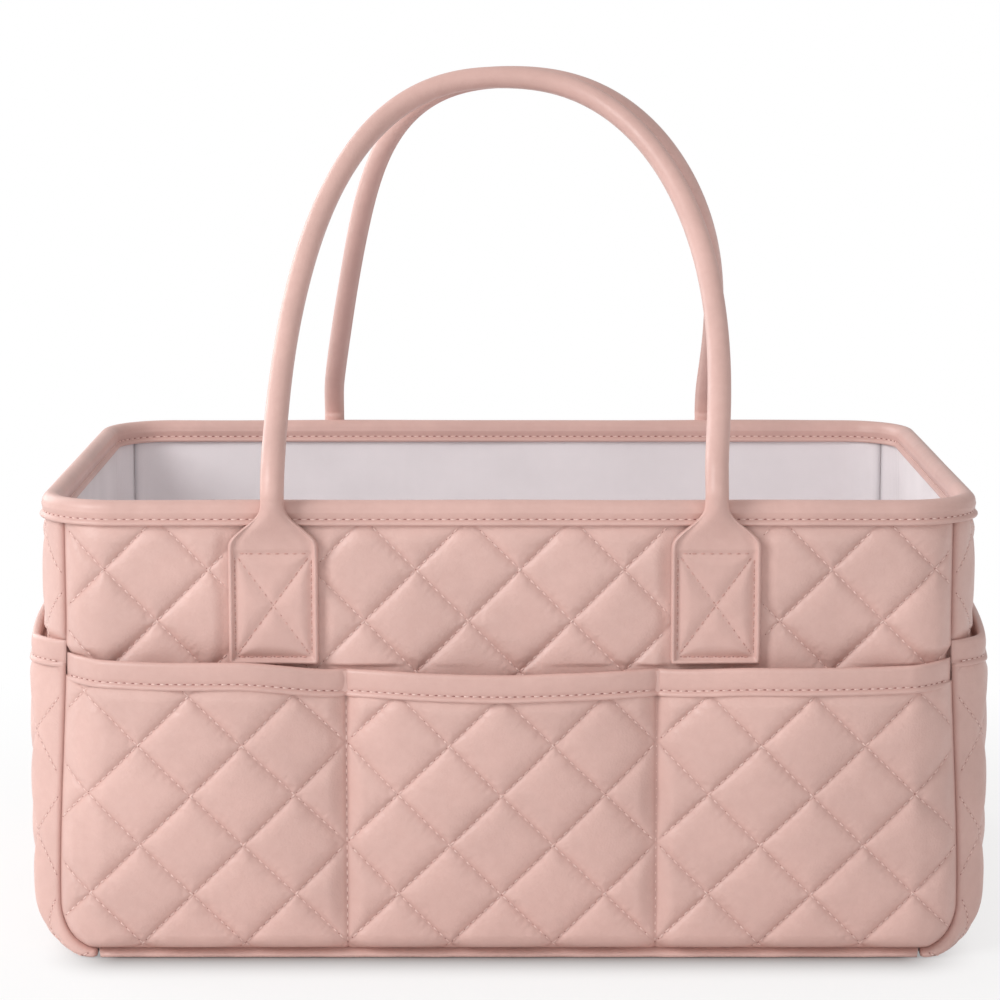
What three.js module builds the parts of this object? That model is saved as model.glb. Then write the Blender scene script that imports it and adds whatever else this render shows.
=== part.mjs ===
import * as THREE from 'three';

// A quilted diaper caddy: a soft box of padded faux leather over stiff boards, with a lining,
// a bound rim, a pocket on each of its four sides and two rolled handles on stitched tabs.
// Millimetres, X to the right, Y to the back, Z up, the origin on the ground under the middle.

// Body
const caddyLength = 376;
const caddyDepth = 250;
const caddyHeight = 183;
const uprightRounding = 30;
const hemRounding = 10;
const heelRadius = 30;

// Layers of the wall, from outside to inside
const gap = 0.3;
const paddingThick = 2.6;
const boardThick = 1.2;
const liningThick = 0.8;
const seamTuck = 1.5;

// Quilting: the diamonds stand on their points, the pitch is one whole diagonal
const quiltPitch = 41.4;
const quiltPuff = 2.4;
const quiltRoundness = 0.4;
const seamFade = 9;
const panelQuiltX = 5;
const panelQuiltZ = 155;
const pocketQuiltX = -2.7;
const pocketQuiltZ = 64.7;
const endQuiltZ = 149;

// Rim binding
const rimBindingHeight = 10.5;
const rimBindingThick = 1;
const rimCrown = 3;

// Pockets on the long faces
const mouthHeight = 115.2;
const mouthRiseLeft = 8;
const mouthRiseRight = 5;
const mouthRisePower = 6;
const middleBaySag = 2.8;
const faceBulge = 11;
const faceBulgePower = 0.7;

// Pockets on the ends
const endMouthStep = 10.8;
const endMouthHeight = mouthHeight + endMouthStep;
const endBulge = 12;
const endBulgePower = 0.45;
const endPocketTurn = 1.2;

// Both kinds of pocket
const pocketThick = 2;
const pocketLeaf = 0.6;
const pocketBindingHeight = 10.6;
const pocketBindingCrown = 1;
const sideTaper = 20;
const hemTaper = 8;
const recessFade = 10;
const bagPower = 0.8;
const hiddenQuiltDepth = 20;

// Handle tabs
const tabLeftX = -94.2;
const tabRightX = 84;
const tabWidth = 36;
const tabFootGap = 1.8;
const shoulderDrop = 19;
const tabBottom = mouthHeight + tabFootGap;
const tabShoulder = caddyHeight - shoulderDrop;
const tabNeck = caddyHeight;
const tabField = 2.4;
const tabEdge = 3.1;
const tabEdgeWidth = 2;
const tabEdgeStep = 0.5;
const tabCorner = 1.4;
const tabPress = 0.3;

// Handles
const handleRadius = 4.9;
const coverThick = 1.4;
const ballRadius = 4.6;
const neckDome = 8;
const ballClearance = 0.5;
const pivotRise = 8;
const apexRise = 164;
const pivotHeight = caddyHeight + pivotRise;
const apexHeight = caddyHeight + apexRise;
const apexGap = 0.8;
const handleStub = 9;
const handleSquareness = 2.4;
const handleBow = 8;
const frontDrape = { sway: 2.5, shift: 0, belly: -1 };
const backDrape = { sway: 1.6, shift: -3, belly: 5 };

// Boards
const boardInset = 1;
const boardHem = 12;
const boardTopGap = 2.5;
const boardTop = caddyHeight - rimBindingHeight - boardTopGap;
const boardCorner = 14;

// Facets
const bendSteps = 3;
const heelSteps = 4;
const handleStations = 22;
const handleSides = 10;
const coreSides = 6;

const halfLength = caddyLength / 2;
const halfDepth = caddyDepth / 2;
const faceFlat = halfLength - uprightRounding;
const endFlat = halfDepth - uprightRounding;
const seamAngle = Math.PI / 4;
const quarter = quiltPitch / 4;
const halfCell = quarter / 2;
const edgeMargin = quarter / 3;
const wallTop = caddyHeight - rimCrown - gap;
const rimFoot = caddyHeight - rimBindingHeight;
const boardSink = paddingThick + gap;
const liningSink = boardSink + boardThick + gap;
const cavitySink = liningSink + liningThick;
const recessDepth = pocketThick + 2 * gap;

const pink = { color: 0xdcb3aa, roughness: 0.55, metalness: 0 };
const deepPink = { color: 0xd2a59c, roughness: 0.5, metalness: 0 };
const liningGrey = { color: 0xdfe0e4, roughness: 0.9, metalness: 0 };
const boardGrey = { color: 0xb9b4ac, roughness: 0.95, metalness: 0 };
const coreWhite = { color: 0xeeeae2, roughness: 0.9, metalness: 0 };

const caddy = new THREE.Group();
caddy.name = 'diaper_caddy';

function clamp(value) {
  return Math.min(Math.max(value, 0), 1);
}

function smooth(value) {
  const t = clamp(value);
  return t * t * (3 - 2 * t);
}

function mix(a, b, share) {
  return a + (b - a) * share;
}

function count(length) {
  return Array.from({ length }, (_, k) => k);
}

// Surface builder

/** Collects points and triangles, and turns them into a closed solid with its faces out. */
class Skin {
  constructor() {
    this.points = [];
    this.faces = [];
  }

  point(place) {
    this.points.push(place[0], place[1], place[2]);
    return this.points.length / 3 - 1;
  }

  face(a, b, c) {
    this.faces.push(a, b, c);
  }

  /** Joins two runs of points, whose stations are sorted, with one strip of triangles. */
  zip(fine, fineAt, coarse, coarseAt, forward) {
    let i = 0;
    let j = 0;
    while (i < fine.length - 1 || j < coarse.length - 1) {
      const nextFine = i < fine.length - 1 ? fineAt[i + 1] : Infinity;
      const nextCoarse = j < coarse.length - 1 ? coarseAt[j + 1] : Infinity;
      const stepFine = nextFine <= nextCoarse;
      const third = stepFine ? fine[i + 1] : coarse[j + 1];
      if (forward) this.face(fine[i], third, coarse[j]);
      else this.face(third, fine[i], coarse[j]);
      if (stepFine) i += 1;
      else j += 1;
    }
  }

  volume() {
    let sum = 0;
    const [a, b, c] = [new THREE.Vector3(), new THREE.Vector3(), new THREE.Vector3()];
    for (let k = 0; k < this.faces.length; k += 3) {
      a.fromArray(this.points, this.faces[k] * 3);
      b.fromArray(this.points, this.faces[k + 1] * 3);
      c.fromArray(this.points, this.faces[k + 2] * 3);
      sum += a.dot(b.cross(c));
    }
    return sum / 6;
  }

  geometry() {
    const outward = this.volume() > 0;
    const index = [];
    for (let k = 0; k < this.faces.length; k += 3) {
      const [a, b, c] = this.faces.slice(k, k + 3);
      index.push(a, outward ? b : c, outward ? c : b);
    }
    const geometry = new THREE.BufferGeometry();
    geometry.setAttribute('position', new THREE.Float32BufferAttribute(this.points, 3));
    geometry.setIndex(index);
    geometry.computeVertexNormals();
    return geometry;
  }
}

/**
 * A sheet with a thickness: outer(i, j) and inner(i, j) give its two sides on one grid, and
 * the inner side keeps only the named columns and rows. Each cell is cut along the diagonal
 * on which the relief changes least, so that a crease follows its stitch line.
 */
function sheet({ columns, rows, outer, inner, keptColumns, keptRows, relief, closed = false }) {
  const skin = new Skin();
  const outerColumns = count(columns);
  const outerRows = count(rows);
  const innerColumns = keptColumns ?? outerColumns;
  const innerRows = keptRows ?? outerRows;
  const face = outerColumns.map((i) => outerRows.map((j) => skin.point(outer(i, j))));
  const back = innerColumns.map((i) => innerRows.map((j) => skin.point(inner(i, j))));
  const height = outerColumns.map((i) => outerRows.map((j) => (relief ? relief(i, j) : 0)));
  const faceAt = [...outerColumns];
  const backAt = [...innerColumns];
  if (closed) {
    face.push(face[0]);
    back.push(back[0]);
    height.push(height[0]);
    faceAt.push(columns);
    backAt.push(columns);
  }
  for (let i = 0; i < face.length - 1; i += 1) {
    for (let j = 0; j < rows - 1; j += 1) {
      const [a, b, c, d] = [face[i][j], face[i + 1][j], face[i + 1][j + 1], face[i][j + 1]];
      const [ha, hb, hc, hd] = [height[i][j], height[i + 1][j], height[i + 1][j + 1], height[i][j + 1]];
      const creaseTie = 1e-3;
      const alongAC = Math.abs(ha - hc) + creaseTie * (ha + hc);
      const alongBD = Math.abs(hb - hd) + creaseTie * (hb + hd);
      if (alongAC <= alongBD) {
        skin.face(a, b, c);
        skin.face(a, c, d);
      } else {
        skin.face(a, b, d);
        skin.face(b, c, d);
      }
    }
  }
  for (let i = 0; i < back.length - 1; i += 1) {
    for (let j = 0; j < innerRows.length - 1; j += 1) {
      const [a, b, c, d] = [back[i][j], back[i + 1][j], back[i + 1][j + 1], back[i][j + 1]];
      skin.face(a, c, b);
      skin.face(a, d, c);
    }
  }
  const low = (side) => side.map((column) => column[0]);
  const high = (side) => side.map((column) => column[column.length - 1]);
  skin.zip(low(face), faceAt, low(back), backAt, false);
  skin.zip(high(face), faceAt, high(back), backAt, true);
  if (!closed) {
    skin.zip(face[0], outerRows, back[0], innerRows, true);
    skin.zip(face[columns - 1], outerRows, back[back.length - 1], innerRows, false);
  }
  return skin.geometry();
}

/** Joins closed rings of points into a solid with a point at each end. */
function loft(rings, firstEnd, lastEnd) {
  const skin = new Skin();
  const ids = rings.map((ring) => ring.map((place) => skin.point(place)));
  const first = skin.point(firstEnd);
  const last = skin.point(lastEnd);
  const sides = rings[0].length;
  for (let m = 0; m < sides; m += 1) {
    const n = (m + 1) % sides;
    skin.face(first, ids[0][n], ids[0][m]);
    for (let k = 0; k < ids.length - 1; k += 1) {
      skin.face(ids[k][m], ids[k][n], ids[k + 1][n]);
      skin.face(ids[k][m], ids[k + 1][n], ids[k + 1][m]);
    }
    skin.face(last, ids[ids.length - 1][m], ids[ids.length - 1][n]);
  }
  return skin.geometry();
}

/** A pipe: the outer rings run out and the inner rings run back, all joined into one tube wall. */
function pipe(outerRings, innerRings) {
  const skin = new Skin();
  const rings = [...outerRings, ...[...innerRings].reverse()];
  const ids = rings.map((ring) => ring.map((place) => skin.point(place)));
  const sides = rings[0].length;
  for (let k = 0; k < ids.length; k += 1) {
    const next = ids[(k + 1) % ids.length];
    for (let m = 0; m < sides; m += 1) {
      const n = (m + 1) % sides;
      skin.face(ids[k][m], ids[k][n], next[n]);
      skin.face(ids[k][m], next[n], next[m]);
    }
  }
  return skin.geometry();
}

function addPiece(frame, name, geometry, finish) {
  const mesh = new THREE.Mesh(geometry, new THREE.MeshStandardMaterial(finish));
  mesh.name = name;
  frame.add(mesh);
  return mesh;
}

// Shape of the body

/** Radius between a long face and the strip round it: turn is 0 on an end, a quarter turn below. */
function edgeRadius(turn) {
  return mix(hemRounding, uprightRounding, Math.cos(turn) ** 2);
}

/** A point of the front face, sunk inwards, from its place in the front view. */
function facePoint(x, z, sink) {
  const beyond = Math.abs(x) - (halfLength - heelRadius);
  const below = heelRadius - z;
  let turn = 0;
  let inset = halfLength - Math.abs(x);
  if (below > 0 && beyond > 0) {
    turn = Math.atan2(below, beyond);
    inset = heelRadius - Math.hypot(below, beyond);
  } else if (below > 0) {
    turn = Math.PI / 2;
    inset = z;
  }
  const radius = edgeRadius(turn);
  const lean = Math.max(radius - inset, 0) / radius;
  const square = Math.sqrt(1 - lean * lean);
  return [
    x - sink * lean * Math.cos(turn) * Math.sign(x),
    -(halfDepth - radius + (radius - sink) * square),
    z + sink * lean * Math.sin(turn),
  ];
}

/** A point of the strip that runs down one end, under the base and up the other end. */
function stripPoint(station, column, sink) {
  const radius = edgeRadius(station.turn);
  const inset = radius * (1 - Math.cos(column.bend)) + sink * Math.cos(column.bend);
  const edge = column.end * (radius - sink) * Math.sin(column.bend);
  return [
    station.x - inset * station.side * Math.cos(station.turn),
    column.share * (halfDepth - radius) + edge,
    station.z + inset * Math.sin(station.turn),
  ];
}

/** Height of one pillow of the quilting, from 0 on a stitch line to 1 at its middle. */
function pillow(u, v) {
  const rise = Math.abs(Math.sin((Math.PI * (u + v)) / quiltPitch));
  const fall = Math.abs(Math.sin((Math.PI * (u - v)) / quiltPitch));
  return (rise * fall) ** quiltRoundness;
}

// Grid of a long face: columns by their place in the front view, rows by their height

function bendOf(k) {
  return seamAngle + ((Math.PI / 2 - seamAngle) * k) / bendSteps;
}

function seamInset(radius) {
  return radius * (1 - Math.cos(seamAngle + gap / 2 / radius));
}

const seamX = halfLength - seamInset(uprightRounding);
const cornerStart = faceFlat - quarter;

function faceColumns(quiltX) {
  const bends = count(bendSteps).map((k) => {
    return k === 0 ? seamX : halfLength - uprightRounding * (1 - Math.cos(bendOf(k)));
  });
  const edge = [...bends, faceFlat];
  const middle = [];
  const first = Math.ceil((-cornerStart - quiltX) / quarter);
  for (let x = quiltX + first * quarter; x <= cornerStart; x += quarter) middle.push(x);
  return [...edge.map((x) => -x), ...middle, ...edge.reverse()];
}

const heelRows = count(heelSteps + 1).map((k) => {
  const turn = (Math.PI / 2) * (1 - k / heelSteps);
  const reach = heelRadius - seamInset(edgeRadius(turn));
  return {
    z: heelRadius - reach * Math.sin(turn),
    half: halfLength - heelRadius + reach * Math.cos(turn),
  };
});

function upperRows(heights) {
  return heights.map((z) => ({ z, half: seamX }));
}

function quiltHeights(quiltZ, low, high) {
  const heights = [];
  const first = Math.ceil((low - quiltZ) / quarter);
  for (let z = quiltZ + first * quarter; z <= high; z += quarter) heights.push(z);
  return heights;
}

/** Near the lower corners the outer columns close up, so that they follow the round outline. */
function columnPlace(x, row) {
  const beyond = Math.abs(x) - cornerStart;
  if (beyond <= 0) return x;
  const share = (row.half - cornerStart) / (seamX - cornerStart);
  return Math.sign(x) * (cornerStart + beyond * share);
}

/** 1 where the layers are sewn together at the edge of a long face, 0 away from it. */
function faceSeam(x, z, row) {
  const side = 1 - smooth((row.half - Math.abs(x)) / sideTaper);
  const hem = 1 - smooth((z - heelRows[0].z) / hemTaper);
  return Math.max(side, hem);
}

// Pocket on a long face: three bays between the end seams and two division seams

const middleBayHalf = 1.5 * quiltPitch;
const divisionLeft = pocketQuiltX - middleBayHalf;
const divisionRight = pocketQuiltX + middleBayHalf;
const bays = [
  [-seamX, divisionLeft],
  [divisionLeft, divisionRight],
  [divisionRight, seamX],
];

function bayShare(x) {
  const bay = bays.find(([low, high]) => x >= low && x <= high) ?? bays[x < 0 ? 0 : 2];
  return clamp((x - bay[0]) / (bay[1] - bay[0]));
}

function mouthLine(x) {
  const rise = x < 0 ? mouthRiseLeft : mouthRiseRight;
  const middle = x > divisionLeft && x < divisionRight;
  const sag = middle ? middleBaySag * Math.sin(Math.PI * bayShare(x)) ** 2 : 0;
  return mouthHeight + rise * (Math.abs(x) / halfLength) ** mouthRisePower - sag;
}

/** How far a bay stands open at a place along the face: 0 at its seams, 1 in its middle. */
function bagShare(x) {
  return Math.abs(Math.sin(Math.PI * bayShare(x))) ** bagPower;
}

function facePocketSink(x, z, row) {
  const seam = faceSeam(x, z, row);
  const rise = clamp(z / mouthHeight) ** faceBulgePower;
  return mix(-gap - faceBulge * bagShare(x) * rise, pocketThick, seam);
}

/** Rows of a face pocket: the last two are the thin tongue that its binding folds over. */
const facePocketRows = (() => {
  const bindingFoot = mouthHeight - pocketBindingHeight;
  const tongueTop = mouthHeight - pocketBindingCrown - gap;
  const lattice = quiltHeights(pocketQuiltZ, heelRadius + gap, bindingFoot - halfCell);
  return [...heelRows, ...upperRows([...lattice, bindingFoot - gap, bindingFoot, tongueTop])];
})();

function buildFacePocket() {
  const xs = faceColumns(pocketQuiltX);
  const rows = facePocketRows;
  const tongueRow = rows.length - 2;
  const place = (i, j) => {
    const x = columnPlace(xs[i], rows[j]);
    const shift = j >= tongueRow - 1 ? mouthLine(x) - mouthHeight : 0;
    return [x, rows[j].z + shift, rows[j]];
  };
  const puff = (i, j) => {
    const [x, z, row] = place(i, j);
    if (j >= tongueRow - 1) return 0;
    const side = smooth((row.half - Math.abs(x)) / seamFade);
    const hem = smooth((z - heelRows[0].z) / seamFade);
    const division = Math.min(Math.abs(x - divisionLeft), Math.abs(x - divisionRight));
    return pillow(x - pocketQuiltX, z - pocketQuiltZ) * side * hem * smooth(division / seamFade);
  };
  const outer = (i, j) => {
    const [x, z, row] = place(i, j);
    const tongue = j >= tongueRow ? gap : 0;
    return facePoint(x, z, facePocketSink(x, z, row) - pocketThick + tongue - quiltPuff * puff(i, j));
  };
  const inner = (i, j) => {
    const [x, z, row] = place(i, j);
    const tongue = j >= tongueRow ? pocketLeaf + gap : 0;
    return facePoint(x, z, facePocketSink(x, z, row) - tongue);
  };
  const innerStep = 3;
  const keptRows = count(rows.length).filter((j) => {
    return j <= heelSteps || j >= tongueRow - 1 || (j - heelSteps) % innerStep === 0;
  });
  return sheet({ columns: xs.length, rows: rows.length, outer, inner, keptRows, relief: puff });
}

/** The folded strip over a pocket's mouth: an upside-down U, from its outer foot to its inner one. */
const foldOuter = [
  { out: pocketThick + pocketLeaf, down: pocketBindingHeight },
  { out: pocketThick + pocketLeaf, down: pocketBindingCrown },
  { out: (pocketThick + pocketLeaf) / 2, down: 0 },
  { out: 0, down: pocketBindingCrown },
  { out: 0, down: pocketBindingHeight },
];
const foldInner = [
  { out: pocketThick, down: pocketBindingHeight },
  { out: pocketThick, down: pocketBindingCrown },
  null,
  { out: pocketLeaf, down: pocketBindingCrown },
  { out: pocketLeaf, down: pocketBindingHeight },
];
const foldKept = [0, 1, 3, 4];

function buildFacePocketBinding() {
  const xs = faceColumns(pocketQuiltX);
  const row = upperRows([mouthHeight])[0];
  const at = (fold) => (i, j) => {
    const z = mouthLine(xs[i]) - fold[j].down;
    return facePoint(xs[i], z, facePocketSink(xs[i], z, row) - fold[j].out);
  };
  return sheet({
    columns: xs.length,
    rows: foldOuter.length,
    outer: at(foldOuter),
    inner: at(foldInner),
    keptRows: foldKept,
  });
}

// Long face panel, quilted above the pocket and plain behind it

const tabPlaces = [tabLeftX, tabRightX];

/** How far the layers under a pocket are let in at the seams: 1 below its mouth, 0 above it. */
function recessShare(z, mouthTop) {
  return clamp((mouthTop + recessFade - z) / recessFade);
}

const faceMouthTop = mouthHeight + mouthRiseLeft;

function buildFacePanel() {
  const xs = faceColumns(panelQuiltX);
  const quiltFrom = mouthHeight - hiddenQuiltDepth;
  const mouthRow = mouthHeight + pocketBindingCrown;
  const lattice = quiltHeights(panelQuiltZ, mouthRow + edgeMargin, rimFoot - edgeMargin);
  const rows = [...heelRows, ...upperRows([quiltFrom, mouthRow, ...lattice, rimFoot, wallTop])];
  const seam = (x, j) => faceSeam(x, rows[j].z, rows[j]) * recessShare(rows[j].z, faceMouthTop);
  const puff = (i, j) => {
    const { z, half } = rows[j];
    const x = columnPlace(xs[i], rows[j]);
    if (z <= quiltFrom || z >= rimFoot) return 0;
    const side = smooth((half - Math.abs(x)) / seamFade) * (1 - seam(x, j));
    const behind = z <= mouthRow ? bagShare(x) : 1;
    const onTab = tabPlaces.some((tabX) => Math.abs(x - tabX) <= tabWidth / 2 + quarter);
    const press = onTab && z >= tabBottom - quarter ? tabPress : 1;
    return pillow(x - panelQuiltX, z - panelQuiltZ) * side * press * behind;
  };
  const outer = (i, j) => {
    const x = columnPlace(xs[i], rows[j]);
    return facePoint(x, rows[j].z, recessDepth * seam(x, j) - quiltPuff * puff(i, j));
  };
  const inner = (i, j) => {
    const x = columnPlace(xs[i], rows[j]);
    return facePoint(x, rows[j].z, paddingThick + seamTuck * seam(x, j));
  };
  const keptColumns = count(xs.length).filter((i) => Math.abs(xs[i]) >= cornerStart - quarter);
  const topRows = 7;
  const keptRows = count(rows.length).filter((j) => j <= heelSteps + 1 || j >= rows.length - topRows);
  return sheet({ columns: xs.length, rows: rows.length, outer, inner, keptColumns, keptRows, relief: puff });
}

// Grid of the strip: columns across it, stations along it

function stripColumns() {
  const bends = count(bendSteps).map((k) => {
    const bend = seamAngle * (1 - k / bendSteps);
    return { bend: k === 0 ? bend - gap / 2 / uprightRounding : bend, share: 1, end: 1 };
  });
  const flats = [];
  const first = Math.ceil(-endFlat / quarter);
  for (let k = first; k <= -first; k += 1) {
    const nearEdge = Math.abs(k * quarter) > endFlat - edgeMargin;
    if (!nearEdge) flats.push({ bend: 0, share: (k * quarter) / endFlat, end: 0 });
  }
  const edge = [...bends, { bend: 0, share: 1, end: 0 }];
  const mirrored = edge.map(({ bend, share, end }) => ({ bend, share: -share, end: -end }));
  return [...mirrored, ...flats, ...edge.reverse()];
}

const strip = stripColumns();

/** Distance across the strip from its middle, measured along the fabric. */
function acrossStrip(column) {
  return column.share * endFlat + column.end * uprightRounding * column.bend;
}

const stripHalf = endFlat + uprightRounding * seamAngle;

function sideStation(z, side) {
  return { x: side * halfLength, z, turn: 0, side, along: z };
}

function heelStation(turn, side) {
  return {
    x: side * (halfLength - heelRadius + heelRadius * Math.cos(turn)),
    z: heelRadius - heelRadius * Math.sin(turn),
    turn,
    side,
    along: heelRadius - heelRadius * turn,
  };
}

const endPocketFoot = heelRadius - heelRadius * endPocketTurn;

/** 1 where an end pocket is sewn in: along both edges of the strip and at its lower end. */
function endSeam(column, station) {
  const side = 1 - smooth((stripHalf - Math.abs(acrossStrip(column))) / sideTaper);
  const hem = 1 - smooth((station.along - endPocketFoot) / hemTaper);
  return Math.max(side, hem);
}

/** How far the strip is let in for the end pocket that is sewn on it. */
function stripRecess(column, station) {
  const above = recessShare(station.along, endMouthHeight);
  const below = clamp((station.along - endPocketFoot + recessFade) / recessFade);
  return endSeam(column, station) * above * below;
}

function endQuilt(column, station) {
  return pillow(acrossStrip(column), station.along - endQuiltZ);
}

function stripSideFade(column) {
  return smooth((stripHalf - Math.abs(acrossStrip(column))) / seamFade);
}

function endBagShare(column) {
  return Math.cos((Math.PI / 2) * clamp(Math.abs(acrossStrip(column)) / stripHalf)) ** bagPower;
}

const heelTurns = count(heelSteps + 1).map((k) => ((Math.PI / 2) * k) / heelSteps);

function buildStrip() {
  const quiltFrom = endMouthHeight - hiddenQuiltDepth;
  const mouthRow = endMouthHeight + pocketBindingCrown;
  const lattice = quiltHeights(endQuiltZ, mouthRow + edgeMargin, rimFoot - edgeMargin).reverse();
  const heights = [wallTop, rimFoot, ...lattice, mouthRow, quiltFrom];
  const side = (hand) => [
    ...heights.map((z) => sideStation(z, hand)),
    ...heelTurns.map((turn) => heelStation(turn, hand)),
  ];
  const stations = [...side(-1), ...side(1).reverse()];
  const puff = (i, j) => {
    const station = stations[i];
    if (station.along <= quiltFrom || station.along >= rimFoot) return 0;
    const behind = station.along <= mouthRow ? endBagShare(strip[j]) : 1;
    const side = stripSideFade(strip[j]) * (1 - stripRecess(strip[j], station));
    return endQuilt(strip[j], station) * side * behind;
  };
  const outer = (i, j) => {
    const recess = stripRecess(strip[j], stations[i]);
    return stripPoint(stations[i], strip[j], recessDepth * recess - quiltPuff * puff(i, j));
  };
  const inner = (i, j) => {
    const recess = stripRecess(strip[j], stations[i]);
    return stripPoint(stations[i], strip[j], paddingThick + seamTuck * recess);
  };
  const keptRows = count(strip.length).filter((j) => {
    return strip[j].end !== 0 || Math.abs(strip[j].share) > 1 - quarter / endFlat;
  });
  return sheet({ columns: stations.length, rows: strip.length, outer, inner, keptRows, relief: puff });
}

// Pocket on an end

function endPocketSink(column, station) {
  const seam = endSeam(column, station);
  const rise = clamp((station.along - endPocketFoot) / (endMouthHeight - endPocketFoot));
  const bulge = endBulge * endBagShare(column) * rise ** endBulgePower;
  return mix(-gap - bulge, pocketThick, seam);
}

function buildEndPocket(hand) {
  const bindingFoot = endMouthHeight - pocketBindingHeight;
  const tongueTop = endMouthHeight - pocketBindingCrown - gap;
  const lattice = quiltHeights(endQuiltZ, heelRadius + gap, bindingFoot - halfCell).reverse();
  const turns = heelTurns.filter((turn) => turn < endPocketTurn);
  const stations = [
    ...[tongueTop, bindingFoot, bindingFoot - gap, ...lattice].map((z) => sideStation(z, hand)),
    ...[...turns, endPocketTurn].map((turn) => heelStation(turn, hand)),
  ];
  const foot = stations[stations.length - 1].along;
  const puff = (i, j) => {
    if (i < 3) return 0;
    const hem = smooth((stations[i].along - foot) / seamFade);
    return endQuilt(strip[j], stations[i]) * stripSideFade(strip[j]) * hem;
  };
  const outer = (i, j) => {
    const tongue = i < 2 ? gap : 0;
    const sink = endPocketSink(strip[j], stations[i]) - pocketThick + tongue;
    return stripPoint(stations[i], strip[j], sink - quiltPuff * puff(i, j));
  };
  const inner = (i, j) => {
    const tongue = i < 2 ? pocketLeaf + gap : 0;
    return stripPoint(stations[i], strip[j], endPocketSink(strip[j], stations[i]) - tongue);
  };
  const keptRows = count(strip.length).filter((j) => {
    const cell = Math.round((strip[j].share * endFlat) / quarter);
    const nearEdge = Math.abs(strip[j].share) > 1 - (2 * quarter) / endFlat;
    return strip[j].end !== 0 || nearEdge || cell % 2 === 0;
  });
  return sheet({ columns: stations.length, rows: strip.length, outer, inner, keptRows, relief: puff });
}

function buildEndPocketBinding(hand) {
  const at = (fold) => (i, j) => {
    const station = sideStation(endMouthHeight - fold[j].down, hand);
    return stripPoint(station, strip[i], endPocketSink(strip[i], station) - fold[j].out);
  };
  return sheet({
    columns: strip.length,
    rows: foldOuter.length,
    outer: at(foldOuter),
    inner: at(foldInner),
    keptRows: foldKept,
  });
}

// Rim binding: one folded strip round the whole rim

function buildRimBinding() {
  const cornerSteps = 2 * bendSteps;
  const stations = [];
  for (let corner = 0; corner < 4; corner += 1) {
    const right = corner === 0 || corner === 3;
    const back = corner < 2;
    for (let k = 0; k <= cornerSteps; k += 1) {
      const angle = (Math.PI / 2) * (corner + k / cornerSteps);
      stations.push({ angle, x: right ? faceFlat : -faceFlat, y: back ? endFlat : -endFlat });
    }
  }
  const foldSteps = 5;
  const middleSink = cavitySink / 2;
  const halfWidth = middleSink + gap + rimBindingThick;
  const crown = count(foldSteps + 1).map((k) => {
    const angle = (Math.PI * k) / foldSteps;
    return [middleSink - halfWidth * Math.cos(angle), wallTop + gap + rimCrown * Math.sin(angle)];
  });
  const slot = { low: -gap, high: cavitySink + gap };
  const outerFold = [
    [slot.low - rimBindingThick, rimFoot],
    ...crown,
    [slot.high + rimBindingThick, rimFoot],
  ];
  const innerFold = {
    0: [slot.low, rimFoot],
    1: [slot.low, wallTop + gap],
    [outerFold.length - 2]: [slot.high, wallTop + gap],
    [outerFold.length - 1]: [slot.high, rimFoot],
  };
  const at = (fold) => (i, j) => {
    const { angle, x, y } = stations[i];
    const [sink, z] = fold[j];
    const radius = uprightRounding - sink;
    return [x + radius * Math.cos(angle), y + radius * Math.sin(angle), z];
  };
  return sheet({
    columns: stations.length,
    rows: outerFold.length,
    outer: at(outerFold),
    inner: at(innerFold),
    keptRows: Object.keys(innerFold).map(Number),
    closed: true,
  });
}

// Boards and lining

function boardPlate(width, low, high, thick, corner) {
  const shape = new THREE.Shape();
  shape.moveTo(-width / 2, high);
  shape.lineTo(-width / 2, low + corner);
  shape.quadraticCurveTo(-width / 2, low, -width / 2 + corner, low);
  shape.lineTo(width / 2 - corner, low);
  shape.quadraticCurveTo(width / 2, low, width / 2, low + corner);
  shape.lineTo(width / 2, high);
  return new THREE.ExtrudeGeometry(shape, { depth: thick, bevelEnabled: false, curveSegments: 3 });
}

function buildFaceBoard() {
  const board = boardPlate(2 * (faceFlat - boardInset), boardHem, boardTop, boardThick, boardCorner);
  board.rotateX(Math.PI / 2);
  return board.translate(0, -halfDepth + boardSink + boardThick, 0);
}

function buildEndBoard() {
  const board = boardPlate(2 * (endFlat - boardInset), heelRadius, boardTop, boardThick, boardCorner);
  board.rotateX(Math.PI / 2);
  board.translate(0, -halfLength + boardSink + boardThick, 0);
  return board.rotateZ(Math.PI / 2);
}

function buildBaseBoard() {
  const length = 2 * (faceFlat - boardInset);
  const width = 2 * (halfDepth - hemRounding - boardInset);
  const board = boardPlate(length, -width / 2, width / 2, boardThick, boardCorner);
  return board.translate(0, 0, boardSink);
}

function buildFaceLining() {
  const xs = faceColumns(panelQuiltX).filter((x) => Math.abs(x) >= cornerStart - quarter);
  const rows = [...heelRows, ...upperRows([wallTop])];
  const side = (sink) => (i, j) => facePoint(columnPlace(xs[i], rows[j]), rows[j].z, sink);
  return sheet({
    columns: xs.length,
    rows: rows.length,
    outer: side(liningSink),
    inner: side(cavitySink),
  });
}

const liningStrip = strip.filter((column) => {
  return column.end !== 0 || Math.abs(column.share) > 1 - quarter / endFlat;
});

function stripLining(stations) {
  const side = (sink) => (i, j) => stripPoint(stations[i], liningStrip[j], sink);
  return sheet({
    columns: stations.length,
    rows: liningStrip.length,
    outer: side(liningSink),
    inner: side(cavitySink),
  });
}

function buildEndLining(hand) {
  const turns = heelTurns.slice(1).map((turn) => heelStation(turn, hand));
  return stripLining([sideStation(wallTop, hand), sideStation(heelRadius, hand), ...turns]);
}

function buildFloorLining() {
  const end = (hand) => ({ ...heelStation(Math.PI / 2, hand), x: hand * (faceFlat - gap) });
  return stripLining([end(-1), end(1)]);
}

// Tabs: flat and edged below, rolled up into a round neck above the rim

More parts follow.
